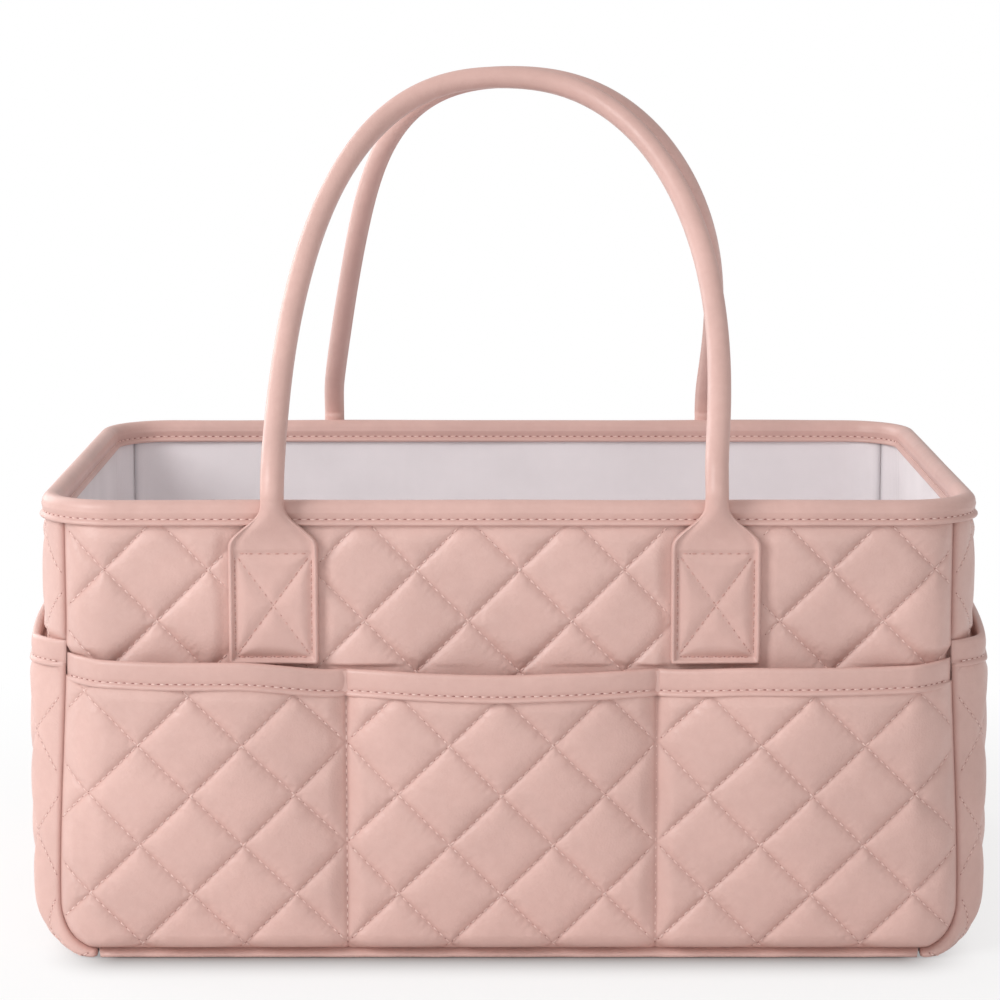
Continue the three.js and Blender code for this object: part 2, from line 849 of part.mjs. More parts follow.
const tabProud = quiltPuff * tabPress + gap;
const neckProud = gap + rimBindingThick + gap;
const pivotOut = halfDepth + neckProud + handleRadius;
const neckTop = pivotHeight - ballRadius - ballClearance;
const domeDrop = neckDome - Math.sqrt(neckDome ** 2 - handleRadius ** 2);
const neckDegrees = [-45, -5, 20, 45, 70, 110, 135, 160, 185, 225, 255, 285];
const edgeSideShare = 0.6;
const tipDropShare = 0.25;
const tipRadiusShare = 0.5;

function tabRing(tabX, { z, half, field, roll = 0, proud = tabProud, radius = handleRadius }) {
  const side = [
    [-half, 0],
    [-half, tabEdge * edgeSideShare],
    [-half + tabEdge * (1 - edgeSideShare), tabEdge],
    [-half + tabEdgeWidth, tabEdge],
    [-half + tabEdgeWidth + tabEdgeStep, field],
  ];
  const mirrored = [...side].reverse().map(([u, p]) => [-u, p]);
  const flat = [...side, ...mirrored, [half / 3, 0], [-half / 3, 0]];
  return flat.map(([u, p], k) => {
    const angle = THREE.MathUtils.degToRad(neckDegrees[k]);
    const across = mix(u, -radius * Math.cos(angle), roll);
    const out = mix(p, handleRadius + radius * Math.sin(angle), roll);
    return [tabX + across, -(halfDepth + proud + out), z];
  });
}

function buildTab(tabX) {
  const half = tabWidth / 2;
  const flareSteps = 6;
  const liftShare = 0.4;
  const flare = count(flareSteps + 1).map((k) => {
    const share = k / flareSteps;
    return {
      z: mix(tabShoulder, tabNeck, share),
      half: mix(half, handleRadius, smooth(share)),
      field: tabEdge,
      roll: smooth(share),
      proud: mix(tabProud, neckProud, clamp(share / liftShare)),
    };
  });
  const round = { half: handleRadius, field: tabEdge, roll: 1, proud: neckProud };
  const rings = [
    { z: tabBottom, half: half - tabCorner, field: tabEdge },
    { z: tabBottom + tabCorner, half, field: tabEdge },
    { z: tabBottom + tabEdgeWidth, half, field: tabEdge },
    { z: tabBottom + tabEdgeWidth + tabEdgeStep, half, field: tabField },
    { z: tabShoulder - 2 * tabEdgeWidth, half, field: tabField },
    { z: tabShoulder - tabEdgeWidth, half, field: tabEdge },
    ...flare,
    { z: neckTop - domeDrop, ...round },
    { z: neckTop - domeDrop * tipDropShare, ...round, radius: handleRadius * tipRadiusShare },
  ];
  const foot = [tabX, -(halfDepth + tabProud + tabEdge / 2), tabBottom];
  return loft(rings.map((ring) => tabRing(tabX, ring)), foot, [tabX, -pivotOut, neckTop]);
}

// Handles: a leather sleeve round a rope core, leaning in until the two nearly meet

const apexOut = handleRadius + apexGap / 2;
const handleRise = Math.hypot(apexHeight - pivotHeight, pivotOut - apexOut);
const handleLean = Math.atan2(pivotOut - apexOut, apexHeight - pivotHeight);
const coreRadius = handleRadius - coverThick - gap;
const coverStart = ballRadius + gap * 2;
const ballDegrees = [35, 65, 90, 115];

/** Centreline of a handle in its own frame, from the left pivot up over the arch to the right one. */
function handleRoute({ sway, shift, belly }) {
  const middle = (tabLeftX + tabRightX) / 2;
  const halfSpan = (tabRightX - tabLeftX) / 2;
  const exponent = 2 / handleSquareness;
  const arch = count(handleStations + 1).map((k) => {
    const angle = (Math.PI * k) / handleStations;
    const across = -Math.sign(Math.cos(angle)) * Math.abs(Math.cos(angle)) ** exponent;
    const rise = handleStub + (handleRise - handleStub) * Math.abs(Math.sin(angle)) ** exponent;
    const share = (rise - handleStub) / (handleRise - handleStub);
    const swell = Math.sin(Math.PI * share);
    const x = middle + halfSpan * across + sway * share + swell * (shift + Math.sign(across) * belly);
    return new THREE.Vector3(x, -handleBow * swell, rise);
  });
  return { left: tabLeftX, right: tabRightX, arch };
}

function ringsAlong(stations, radii, sides) {
  return stations.map((centre, k) => {
    const before = stations[Math.max(k - 1, 0)];
    const after = stations[Math.min(k + 1, stations.length - 1)];
    const tangent = after.clone().sub(before).normalize();
    const normal = new THREE.Vector3(0, 1, 0).addScaledVector(tangent, -tangent.y).normalize();
    const binormal = tangent.clone().cross(normal);
    return count(sides).map((m) => {
      const angle = (2 * Math.PI * m) / sides;
      const place = centre.clone().addScaledVector(normal, radii[k] * Math.cos(angle));
      return place.addScaledVector(binormal, radii[k] * Math.sin(angle)).toArray();
    });
  });
}

function buildHandleCover(drape) {
  const { left, right, arch } = handleRoute(drape);
  const end = (x) => new THREE.Vector3(x, 0, coverStart);
  const stations = [end(left), ...arch, end(right)];
  const outer = ringsAlong(stations, stations.map(() => handleRadius), handleSides);
  const inner = ringsAlong(stations, stations.map(() => handleRadius - coverThick), handleSides);
  return pipe(outer, inner);
}

function buildHandleCore(drape) {
  const { left, right, arch } = handleRoute(drape);
  const ballTop = 180 - THREE.MathUtils.radToDeg(Math.asin(coreRadius / ballRadius));
  const ball = [...ballDegrees, ballTop].map((degree) => {
    const angle = THREE.MathUtils.degToRad(degree);
    return { rise: -ballRadius * Math.cos(angle), radius: ballRadius * Math.sin(angle) };
  });
  const leftBall = ball.map(({ rise }) => new THREE.Vector3(left, 0, rise));
  const rightBall = ball.map(({ rise }) => new THREE.Vector3(right, 0, rise)).reverse();
  const ballRadii = ball.map(({ radius }) => radius);
  const stations = [...leftBall, ...arch, ...rightBall];
  const radii = [...ballRadii, ...arch.map(() => coreRadius), ...[...ballRadii].reverse()];
  const rings = ringsAlong(stations, radii, coreSides);
  return loft(rings, [left, 0, -ballRadius], [right, 0, -ballRadius]);
}

function addHandle(frame, name, drape) {
  const hinge = new THREE.Group();
  hinge.position.set(0, -pivotOut, pivotHeight);
  hinge.rotation.x = -handleLean;
  addPiece(hinge, `${name}_cover`, buildHandleCover(drape), deepPink);
  addPiece(hinge, `${name}_core`, buildHandleCore(drape), coreWhite);
  frame.add(hinge);
}

// Assembly: the back is the front turned half round

function addLongFace(name, drape) {
  const frame = new THREE.Group();
  if (name === 'back') frame.rotation.z = Math.PI;
  addPiece(frame, `${name}_panel`, buildFacePanel(), pink);
  addPiece(frame, `${name}_pocket`, buildFacePocket(), pink);
  addPiece(frame, `${name}_pocket_binding`, buildFacePocketBinding(), deepPink);
  addPiece(frame, `${name}_board`, buildFaceBoard(), boardGrey);
  addPiece(frame, `${name}_lining`, buildFaceLining(), liningGrey);
  addPiece(frame, `${name}_tab_a`, buildTab(tabLeftX), deepPink);
  addPiece(frame, `${name}_tab_b`, buildTab(tabRightX), deepPink);
  addHandle(frame, `${name}_handle`, drape);
  caddy.add(frame);
}

function addEnd(name, hand) {
  addPiece(caddy, `${name}_pocket`, buildEndPocket(hand), pink);
  addPiece(caddy, `${name}_pocket_binding`, buildEndPocketBinding(hand), deepPink);
  const board = addPiece(caddy, `${name}_board`, buildEndBoard(), boardGrey);
  if (hand < 0) board.rotation.z = Math.PI;
  addPiece(caddy, `${name}_lining`, buildEndLining(hand), liningGrey);
}

addPiece(caddy, 'side_and_base_strip', buildStrip(), pink);
addLongFace('front', frontDrape);
addLongFace('back', backDrape);
addEnd('left', -1);
addEnd('right', 1);
addPiece(caddy, 'base_board', buildBaseBoard(), boardGrey);
addPiece(caddy, 'floor_lining', buildFloorLining(), liningGrey);
addPiece(caddy, 'rim_binding', buildRimBinding(), deepPink);

export default caddy;
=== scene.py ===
import math
from functools import cached_property

import bpy
import numpy as np
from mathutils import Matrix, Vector


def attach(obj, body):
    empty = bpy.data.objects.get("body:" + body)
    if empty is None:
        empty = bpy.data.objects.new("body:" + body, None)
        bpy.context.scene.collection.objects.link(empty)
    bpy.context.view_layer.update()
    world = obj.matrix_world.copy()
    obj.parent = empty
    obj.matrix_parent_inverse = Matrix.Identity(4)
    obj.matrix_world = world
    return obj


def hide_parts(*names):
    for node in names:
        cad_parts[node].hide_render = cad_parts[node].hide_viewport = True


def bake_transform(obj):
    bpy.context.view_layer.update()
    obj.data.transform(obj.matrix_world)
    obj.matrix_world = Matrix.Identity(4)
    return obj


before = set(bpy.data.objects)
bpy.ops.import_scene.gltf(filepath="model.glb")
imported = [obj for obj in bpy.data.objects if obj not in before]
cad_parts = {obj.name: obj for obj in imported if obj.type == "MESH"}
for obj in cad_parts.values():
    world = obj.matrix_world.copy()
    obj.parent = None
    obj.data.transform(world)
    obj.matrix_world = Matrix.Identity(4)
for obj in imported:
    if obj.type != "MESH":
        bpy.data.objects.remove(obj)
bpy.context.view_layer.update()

# The looks of a quilted diaper caddy. Shapes are worked out in millimetres, on a body with the
# photograph's proportions, and brought to metres and to the solids' size where a mesh is made.

FIT = 1.012
MM = 0.001 * FIT
GROUND = 0.1

# Body
HALF_LENGTH = 183.5
HALF_DEPTH = 125.0
HEIGHT = 183.0
UPRIGHT = 30.0
HEM = 10.0
HEEL = 22.0
LOW_UPRIGHT = 17.0
GAP = 0.3
FACE_FLAT = HALF_LENGTH - UPRIGHT
END_FLAT = HALF_DEPTH - UPRIGHT
SEAM_ANGLE = math.pi / 4
WALL_TOP = 179.7
RIM_FOOT = 173.3
LINING_SINK = 4.4
CAVITY_SINK = 5.2
PADDING = 2.6
BOARD_THICK = 1.2
BOARD_TOP = 170.0
BOARD_CORNER = 14.0
RECESS = 2.6
SEAM_TUCK = 1.5

# Quilting
PITCH = 40.4
SPACING = PITCH / math.sqrt(2)
PUFF = 2.3
PILLOW_FALL = 2.1
SWATCH_CELLS = 3
SWATCH_STEPS = 24
SWATCH_SCALE = 0.05
SWATCH_FRAMES = 24
SWATCH_CLOTH = {
    "quality": 5,
    "tension_stiffness": 30,
    "compression_stiffness": 30,
    "shear_stiffness": 10,
    "bending_stiffness": 3,
    "air_damping": 3,
    "tension_damping": 10,
    "compression_damping": 10,
    "shear_damping": 10,
    "bending_damping": 2,
    "vertex_group_mass": "sewn",
    "use_pressure": True,
    "uniform_pressure_force": 8,
    "shrink_min": -0.03,
    "shrink_max": -0.03,
}
SEAM_FADE = 9.0
# Width of the painted shade along the seams
SEAM_SHADE_WIDE = 1.4
PANEL_FOOT = 92.0
STRIP_FOOT = 104.0
END_FADE = 26.0
LIP_OUT = 3.6
HEM_SEAM = 0.35
PANEL_QUILT = (4.3, 155.9)
POCKET_QUILT = (-2.9, 68.0)
END_QUILT = (0.0, 149.0)

# Pockets
MOUTH = 117.3
MOUTH_RISE = (4.3, 2.2)
MOUTH_RUN = 45.0
BAY_SAG = 0.6
FACE_BULGE = 11.0
DIVISIONS = (POCKET_QUILT[0] - 1.5 * PITCH, POCKET_QUILT[0] + 1.5 * PITCH)
END_MOUTH = 126.0
END_BULGE = 9.0
END_FOOT_TURN = 1.5
END_FOOT = HEEL - HEEL * END_FOOT_TURN
POCKET_THICK = 2.0
POCKET_BINDING = 10.6
LEAF = 0.75
BINDING_FOOT = POCKET_BINDING + 0.2

# Tabs and handles
TABS = (-91.4, 80.3)
TAB_HALF = 17.4
TAB_BOTTOM = 119.1
TUBE = 4.45
PIVOT_OUT = 131.3
PIVOT_HEIGHT = 191.0

# Sewing
STITCH_STEP = 3.4
STITCH_LONG = 2.2
STITCH_WIDE = 0.66
STITCH_LIFT = 0.3
QUILT_LINES = 16
HOLE_GAP = 0.38
SEAM_CLEAR = 1.6
BODY_MIDDLE = np.array([0, 0, 90.0])


def smooth(value):
    t = np.clip(value, 0, 1)
    return t * t * (3 - 2 * t)


def mix(a, b, share):
    return a + (b - a) * share


def bell(distance, width):
    return np.exp(-((distance / width) ** 2))


def ripple(x, y, wave, seed):
    """Slow even waviness between -1 and 1, the same at each run."""
    k = 2 * math.pi / wave
    return (
        np.sin(k * x + 1.7 * seed + 0.8 * np.sin(0.7 * k * y + seed))
        + np.sin(0.83 * k * y - 2.1 * seed + 0.9 * np.sin(0.61 * k * x))
        + np.sin(0.57 * k * (x + y) + 0.6 * seed)
    ) / 3


# Surfaces of the body


def edge_radius(turn, z):
    """Radius between a long face and the strip: wide at the rim, tighter down to the heel."""
    upright = mix(LOW_UPRIGHT, UPRIGHT, smooth((z - HEEL) / 120))
    return mix(HEM, upright, np.cos(turn) ** 2)


def seam_inset(radius):
    return radius * (1 - np.cos(SEAM_ANGLE + GAP / 2 / radius))


SEAM_X = HALF_LENGTH - float(seam_inset(UPRIGHT))
CORNER_START = FACE_FLAT - PITCH / 4


def face_point(x, z, sink):
    """Points of the front face, sunk inwards, from their place in the front view."""
    x, z, sink = np.broadcast_arrays(x, z, sink)
    beyond = np.abs(x) - (HALF_LENGTH - HEEL)
    below = HEEL - z
    corner = (below > 0) & (beyond > 0)
    under = (below > 0) & ~corner
    turn = np.where(corner, np.arctan2(below, beyond), np.where(under, math.pi / 2, 0.0))
    inset = np.where(corner, HEEL - np.hypot(below, beyond), np.where(under, z, HALF_LENGTH - np.abs(x)))
    radius = edge_radius(turn, z)
    lean = np.clip((radius - inset) / radius, 0, 1)
    square = np.sqrt(1 - lean**2)
    return np.stack(
        [
            x - sink * lean * np.cos(turn) * np.sign(x),
            -(HALF_DEPTH - radius + (radius - sink) * square),
            z + sink * lean * np.sin(turn),
        ],
        -1,
    )


HEEL_TURNS = np.linspace(math.pi / 2, 0, 49)
HEEL_REACH = HEEL - seam_inset(edge_radius(HEEL_TURNS, 0))
HEEL_Z = HEEL - HEEL_REACH * np.sin(HEEL_TURNS)
HEEL_HALF = HALF_LENGTH - HEEL + HEEL_REACH * np.cos(HEEL_TURNS)
FOOT_Z = float(HEEL_Z[0])
WALL_Z = np.linspace(HEEL, HEIGHT, 60)
WALL_HALF = HALF_LENGTH - seam_inset(edge_radius(0, WALL_Z))


def half_at(z):
    """Half of a long face's width between its seams, at a height."""
    return np.interp(z, np.append(HEEL_Z, WALL_Z[1:]), np.append(HEEL_HALF, WALL_HALF[1:]))


def side_edge(x, z):
    """Distance to the nearer side seam of a long face."""
    return half_at(z) - np.abs(x)


def column_place(x, z):
    beyond = np.abs(x) - CORNER_START
    share = (half_at(z) - CORNER_START) / (SEAM_X - CORNER_START)
    return np.where(beyond > 0, np.sign(x) * (CORNER_START + beyond * share), x)


def strip_edge(across):
    """Distance to the nearer seam of the strip."""
    return STRIP_HALF - np.abs(across)


def strip_point(along, across, hand, sink):
    """Points of the strip on one end: along is the height, and below the heel the way on under it."""
    along, across, sink = np.broadcast_arrays(along, across, sink)
    below = np.maximum(HEEL - along, 0)
    turn = np.minimum(below / HEEL, math.pi / 2)
    on = np.maximum(below - HEEL * math.pi / 2, 0)
    x = HALF_LENGTH - HEEL + HEEL * np.cos(turn) - on
    z = np.where(below > 0, HEEL - HEEL * np.sin(turn), along)
    radius = edge_radius(turn, along)
    bend = np.sign(across) * np.maximum(np.abs(across) - END_FLAT, 0) / UPRIGHT
    flat = np.clip(across / END_FLAT, -1, 1)
    inset = radius * (1 - np.cos(bend)) + sink * np.cos(bend)
    y = flat * (HALF_DEPTH - radius) + (radius - sink) * np.sin(bend)
    beside = strip_edge(across) * radius / UPRIGHT
    roll = smooth(beside / 1.2) * (1 - smooth((beside - 1.5) / 6)) * smooth(turn * 2 / math.pi)
    roll = roll * np.clip(1 - sink / 2.4, 0, 1)
    gathers = 1 + 0.14 * ripple(hand * x, across * 0, 19, 2.6)
    y = y + np.sign(across) * LIP_OUT * roll * gathers
    up = (z + inset * np.sin(turn)) * (1 - roll * smooth(beside / 2.5))
    return np.stack([hand * (x - inset * np.cos(turn)), y, up], -1)


STRIP_HALF = END_FLAT + UPRIGHT * (SEAM_ANGLE - GAP / 2 / UPRIGHT)
HEEL_END = HEEL - HEEL * math.pi / 2
MIDDLE = HEEL_END - (HALF_LENGTH - HEEL)


# Quilting


def quilt_lines(u, v):
    """Distance to the nearest stitch line of each of the two directions."""
    a = (u + v) / PITCH
    b = (u - v) / PITCH
    return np.abs(a - np.round(a)) * SPACING, np.abs(b - np.round(b)) * SPACING


def swatch_start():
    """Points of a swatch of the padded leather before it fills, and which of them are sewn down."""
    count = SWATCH_CELLS * SWATCH_STEPS + 1
    steps = np.arange(count)
    x, y = np.meshgrid(steps * SPACING / SWATCH_STEPS, steps * SPACING / SWATCH_STEPS, indexing="ij")
    line = steps % SWATCH_STEPS == 0
    slack = 0.25 + 0.12 * ripple(x, y, 9.3, 1.4) + 0.1 * ripple(x, y, 5.1, 2.2)
    z = np.where(line[:, None] | line[None, :], 0, slack)
    held = steps % 3 != 1
    edge = (steps == 0) | (steps == count - 1)
    sewn = (line[:, None] & held[None, :]) | (line[None, :] & held[:, None]) | edge[:, None] | edge[None, :]
    return np.stack([x, y, z], -1), sewn


def simulated_swatch():
    """Heights of the swatch once cloth simulation has filled it out between its stitches."""
    points, sewn = swatch_start()
    count = len(points)
    mesh = bpy.data.meshes.new("swatch")
    ids = np.arange(count * count).reshape(count, count)
    mesh.from_pydata((points.reshape(-1, 3) * SWATCH_SCALE).tolist(), [], grid_faces(ids))
    swatch = new_object("swatch", mesh)
    scene = bpy.context.scene
    group = swatch.vertex_groups.new(name="sewn")
    group.add(np.nonzero(sewn.reshape(-1))[0].tolist(), 1.0, "REPLACE")
    modifier = swatch.modifiers.new("cloth", "CLOTH")
    for key, value in SWATCH_CLOTH.items():
        setattr(modifier.settings, key, value)
    modifier.settings.effector_weights.gravity = 0
    modifier.collision_settings.use_collision = False
    modifier.point_cache.frame_end = SWATCH_FRAMES
    for frame_number in range(1, SWATCH_FRAMES + 1):
        scene.frame_set(frame_number)
    filled = swatch.evaluated_get(bpy.context.evaluated_depsgraph_get())
    places = np.empty(count * count * 3, np.float32)
    filled.data.vertices.foreach_get("co", places)
    scene.frame_set(1)
    bpy.data.objects.remove(swatch)
    bpy.data.meshes.remove(mesh)
    return places.reshape(count, count, 3)[..., 2] / SWATCH_SCALE


def swatch_pillows():
    """One grid of heights from 0 to about 1 for each pillow of the swatch."""
    heights = simulated_swatch()
    n = SWATCH_STEPS
    starts = [(i * n, j * n) for i in range(SWATCH_CELLS) for j in range(SWATCH_CELLS)]
    pillows = np.stack([heights[i : i + n + 1, j : j + n + 1] for i, j in starts])
    top = pillows[:, n // 2, n // 2].mean()
    return 1 - (1 - np.clip(pillows / top, 0, 1)) ** PILLOW_FALL


def quilt_relief(u, v, seed):
    """Height of the pillows over the stitch lines, each diamond with one of the swatch's pillows."""
    u, v = np.broadcast_arrays(u, v)
    a, b = (u + v) / PITCH, (u - v) / PITCH
    row, column = np.floor(a), np.floor(b)
    pick = np.mod(row * 5 + column * 7 + math.floor(seed * 3), len(PILLOWS)).astype(int)
    turned_over = np.mod(row + 2 * np.floor(column / 2), 2) > 0
    a, b = a - row, b - column
    a = np.where(turned_over, 1 - a, a) * SWATCH_STEPS
    b = b * SWATCH_STEPS
    i = np.clip(a.astype(int), 0, SWATCH_STEPS - 1)
    j = np.clip(b.astype(int), 0, SWATCH_STEPS - 1)
    a, b = a - i, b - j
    low = mix(PILLOWS[pick, i, j], PILLOWS[pick, i, j + 1], b)
    high = mix(PILLOWS[pick, i + 1, j], PILLOWS[pick, i + 1, j + 1], b)
    da, db = quilt_lines(u, v)
    groove = 1 - bell(np.minimum(da, db), 0.8)
    return mix(low, high, a) * groove * (1 + 0.10 * ripple(u, v, 57, seed))


def quilt_marks(crease, u, v, fade):
    """What the leather's material needs at each point: share of painted seam and crease shade, both line counts and
    their share.
    """
    crease, u, v, fade = np.broadcast_arrays(crease, u, v, fade)
    return np.stack([crease, (u + v) / PITCH, (u - v) / PITCH, fade], -1)


# Meshes


def new_object(name, data, place=(0, 0, 0), **settings):
    """An object in the scene, with settings for its data."""
    for key, value in settings.items():
        setattr(data, key, value)
    item = bpy.data.objects.new(name, data)
    item.location = place
    bpy.context.scene.collection.objects.link(item)
    return item


def turned(points, back):
    """The front's points, or the same turned half round for the back."""
    return points * np.array([-1, -1, 1]) if back else points


def finish_piece(name, points, faces, material, marks=None, body="caddy", flip=False):
    """A smooth-shaded mesh of points in millimetres, riding on a body unless that is None."""
    mesh = bpy.data.meshes.new(name)
    if flip:
        faces = [face[::-1] for face in faces]
    places = np.array(points, float).reshape(-1, 3)
    places[:, 2] = np.maximum(places[:, 2], GROUND)
    mesh.from_pydata((places * MM).tolist(), [], faces)
    mesh.polygons.foreach_set("use_smooth", np.ones(len(mesh.polygons), bool))
    if marks is not None:
        marks = np.asarray(marks, np.float32).reshape(len(places), -1)
        # crease: share of painted shade in seams and grooves
        mesh.attributes.new("crease", "FLOAT", "POINT").data.foreach_set("value", marks[:, 0].copy())
        if marks.shape[1] > 1:
            lines = mesh.attributes.new("quilt", "FLOAT_VECTOR", "POINT")
            lines.data.foreach_set("vector", marks[:, 1:].ravel())
    mesh.materials.append(material)
    mesh.update()
    piece = new_object(name, mesh)
    if body:
        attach(piece, body)
    return piece


def grid_faces(ids):
    return np.stack([ids[:-1, :-1], ids[1:, :-1], ids[1:, 1:], ids[:-1, 1:]], -1).reshape(-1, 4).tolist()


def closed_faces(points):
    """Faces of a closed tube through rings of points, with a cap at each end."""
    n, m = points.shape[:2]
    ids = np.arange(n * m).reshape(n, m)
    return grid_faces(np.concatenate([ids, ids[:, :1]], 1)) + [ids[0].tolist(), ids[-1][::-1].tolist()]


PILLOWS = swatch_pillows()


def kept(count, step):
    return sorted(set(range(0, count, step)) | {count - 1})


def hem_faces(fine, coarse, at, forward):
    """Faces between a fine border and a coarse one, whose points stand at some of its places."""
    faces = []
    for k, (first, last) in enumerate(zip(at[:-1], at[1:])):
        pair, run = coarse[k : k + 2], fine[first : last + 1]
        faces.append(pair[::-1] + run if forward else pair + run[::-1])
    return faces


def sheet_parts(outer, inner, crease, step, wrap):
    """Points, faces and creases of a thick sheet whose inner side is on a coarser grid."""
    n, m = outer.shape[:2]
    ci = list(range(0, n, step)) if wrap else kept(n, step)
    rj = kept(m, step)
    inside = inner[np.ix_(ci, rj)]
    points = np.concatenate([outer.reshape(-1, 3), inside.reshape(-1, 3)])
    ids = np.arange(n * m).reshape(n, m)
    back = n * m + np.arange(len(ci) * len(rj)).reshape(len(ci), len(rj))
    if wrap:
        ids, back = (np.concatenate([a, a[:1]]) for a in (ids, back))
        ci.append(n)
    faces = grid_faces(ids) + [face[::-1] for face in grid_faces(back)]
    borders = [(ids.T.tolist(), back.T.tolist(), ci, False)]
    if not wrap:
        borders.append((ids.tolist(), back.tolist(), rj, True))
    for fine, coarse, at, forward in borders:
        first = hem_faces(fine[0], coarse[0], at, forward)
        last = hem_faces(fine[-1], coarse[-1], at, not forward)
        faces += [face for pair in zip(first, last) for face in pair]
    i, j = n // 2, m // 2
    across = np.cross(outer[min(i + 1, n - 1), j] - outer[i, j], outer[i, min(j + 1, m - 1)] - outer[i, j])
    if across @ (outer[i, j] - inner[i, j]) < 0:
        faces = [face[::-1] for face in faces]
    crease = crease if np.ndim(crease) == 3 else np.broadcast_to(crease, (n, m))[..., None]
    hidden = np.zeros((inside.size // 3, crease.shape[-1]))
    return points, faces, np.concatenate([crease.reshape(n * m, -1), hidden])


def sheet_piece(name, node, outer, inner, material, marks, back=False, step=4, wrap=False):
    """A thick sheet as one piece in the place of a CAD node."""
    points, faces, values = sheet_parts(outer, inner, marks, step, wrap)
    piece = finish_piece(name, turned(points, back), faces, material, values)
    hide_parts(node)
    return piece


def quilted_piece(name, node, outer, inner, marks, back=False, fill=0.5):
    piece = sheet_piece(name, node, outer, inner, QUILTED, marks, back)


def lining_piece(side, visible, hidden, distance):
    # seam: share of painted shade along the lining's seams
    name, seam = f"{side}_cloth_lining", bell(distance, 1.6)
    piece = sheet_piece(name, f"{side}_lining", visible, hidden, LINING, seam, side == "back", 6)


def stitches_mesh(name, starts, ends, normals, thread=None, wide=STITCH_WIDE, hole=1.0):
    """One small bead of thread from each start to its end, and beyond each end a dark disc of painted shade for its
    needle hole.
    """
    starts, ends, normals = (np.asarray(a, float) for a in (starts, ends, normals))
    normals = normals / np.linalg.norm(normals, axis=1, keepdims=True)
    along = ends - starts
    length = np.linalg.norm(along, axis=1, keepdims=True)
    along = along / length
    side = np.cross(along, normals)
    rings = []
    for share, size, rise in ((0.14, 0.8, 0.6), (0.5, 1.0, 1.0), (0.86, 0.8, 0.6)):
        centre = starts + along * length * share + normals * (STITCH_LIFT * rise - wide * 0.3)
        for angle in np.radians(range(0, 360, 72)):
            rings.append(centre + (side * np.cos(angle) + normals * np.sin(angle) * 0.8) * wide / 2 * size)
    points = np.stack(rings + [starts - normals * 0.15, ends - normals * 0.15], 1)
    template = []
    for m in range(5):
        n = (m + 1) % 5
        template.append([m, n, 15])
        for k in (0, 5):
            template.append([k + n, k + m, k + 5 + m, k + 5 + n])
        template.append([10 + n, 10 + m, 16])
    finish_piece(name, points, copies(template, points), thread or THREAD)
    # Dark discs at the needle holes: painted shade.
    beside, normal, onward = (np.concatenate([a, a[-1:]]) for a in (side, normals, along))
    hole_at = np.concatenate([starts - along * HOLE_GAP, ends[-1:] + along[-1:] * HOLE_GAP])
    fan = [hole_at + normal * 0.10]
    for angle in np.radians(range(0, 360, 60)):
        edge = beside * np.cos(angle) * 0.3 + onward * np.sin(angle) * 0.5
        fan.append(hole_at + edge * hole - normal * 0.02)
    points = np.stack(fan, 1)
    template = [[0, 1 + m, 1 + (m + 1) % 6] for m in range(6)]
    finish_piece(f"{name}_holes", points, copies(template, points), HOLE_SHADE)


def copies(template, points):
    """The template's faces once for each row of points."""
    count, each = points.shape[:2]
    return [[k * each + i for i in face] for k in range(count) for face in template]


def quilt_stitches(quilt, inside):
    """Starts and ends, in the wall's own plane, of the stitches along both directions of lines."""
    u0, v0 = quilt
    starts, ends = [], []
    diagonal = math.sqrt(0.5)
    steps = np.arange(-260, 260) * STITCH_STEP
    half = diagonal * STITCH_LONG / 2
    for family in (1, -1):
        for k in range(-QUILT_LINES, QUILT_LINES + 1):
            # points (u, v) with u + family * v = k * PITCH
            foot = k * PITCH / 2
            x = foot + steps * diagonal + u0
            z = family * (foot - steps * diagonal) + v0
            dz = -family * half
            keep = inside(x - half, z - dz) & inside(x + half, z + dz)
            starts.append(np.stack([x - half, z - dz], 1)[keep])
            ends.append(np.stack([x + half, z + dz], 1)[keep])
    return np.concatenate(starts), np.concatenate(ends)


# Pockets


def bay_share(x):
    left, right = DIVISIONS
    low = np.where(x < left, -SEAM_X, np.where(x <= right, left, right))
    high = np.where(x < left, left, np.where(x <= right, right, SEAM_X))
    return np.clip((x - low) / (high - low), 0, 1)


def mouth_line(x):
    left = MOUTH_RISE[0] * smooth((DIVISIONS[0] - x) / MOUTH_RUN)
    right = MOUTH_RISE[1] * smooth((x - DIVISIONS[1]) / MOUTH_RUN)
    middle = (x > DIVISIONS[0]) & (x < DIVISIONS[1])
    sag = np.where(middle, BAY_SAG * np.sin(math.pi * bay_share(x)) ** 2, 0)
    return MOUTH + left + right - sag


def bag_share(x):
    return np.abs(np.sin(math.pi * bay_share(x))) ** 0.8


def face_seam(x, z):
    side = 1 - smooth((side_edge(x, z)) / 20)
    hem = 1 - smooth((z - FOOT_Z) / 8)
    return np.maximum(side, hem)


def face_edge(x, z):
    """Distance to the nearest of a long face's sewn edges."""
    return np.minimum(side_edge(x, z), np.maximum(z - FOOT_Z, 0) * 1.6)


def face_pocket_sink(x, z):
    rise = np.clip(z / MOUTH, 0, 1) ** 0.7
    return mix(-GAP - FACE_BULGE * bag_share(x) * rise, POCKET_THICK, face_seam(x, z))


def division_distance(x):
    return np.minimum(np.abs(x - DIVISIONS[0]), np.abs(x - DIVISIONS[1]))


def pulled_in(distance):
    """Share of a binding's thickness that is left beside the seam it runs into."""
    return 0.1 + 0.9 * np.sqrt(smooth(distance / 8 + 0.02))


def edge_roll(distance, depth=1.5, width=1.7):
    """How deep a sewn edge dives into its seam."""
    return depth * np.exp(-np.maximum(distance, 0) / width)


def face_hem(z):
    """How strongly a long face's seam shows: less along the ground."""
    return mix(HEM_SEAM, 1, smooth((z - FOOT_Z) / 12))


def strip_hem(along):
    return mix(HEM_SEAM, 1, smooth(along / HEEL))


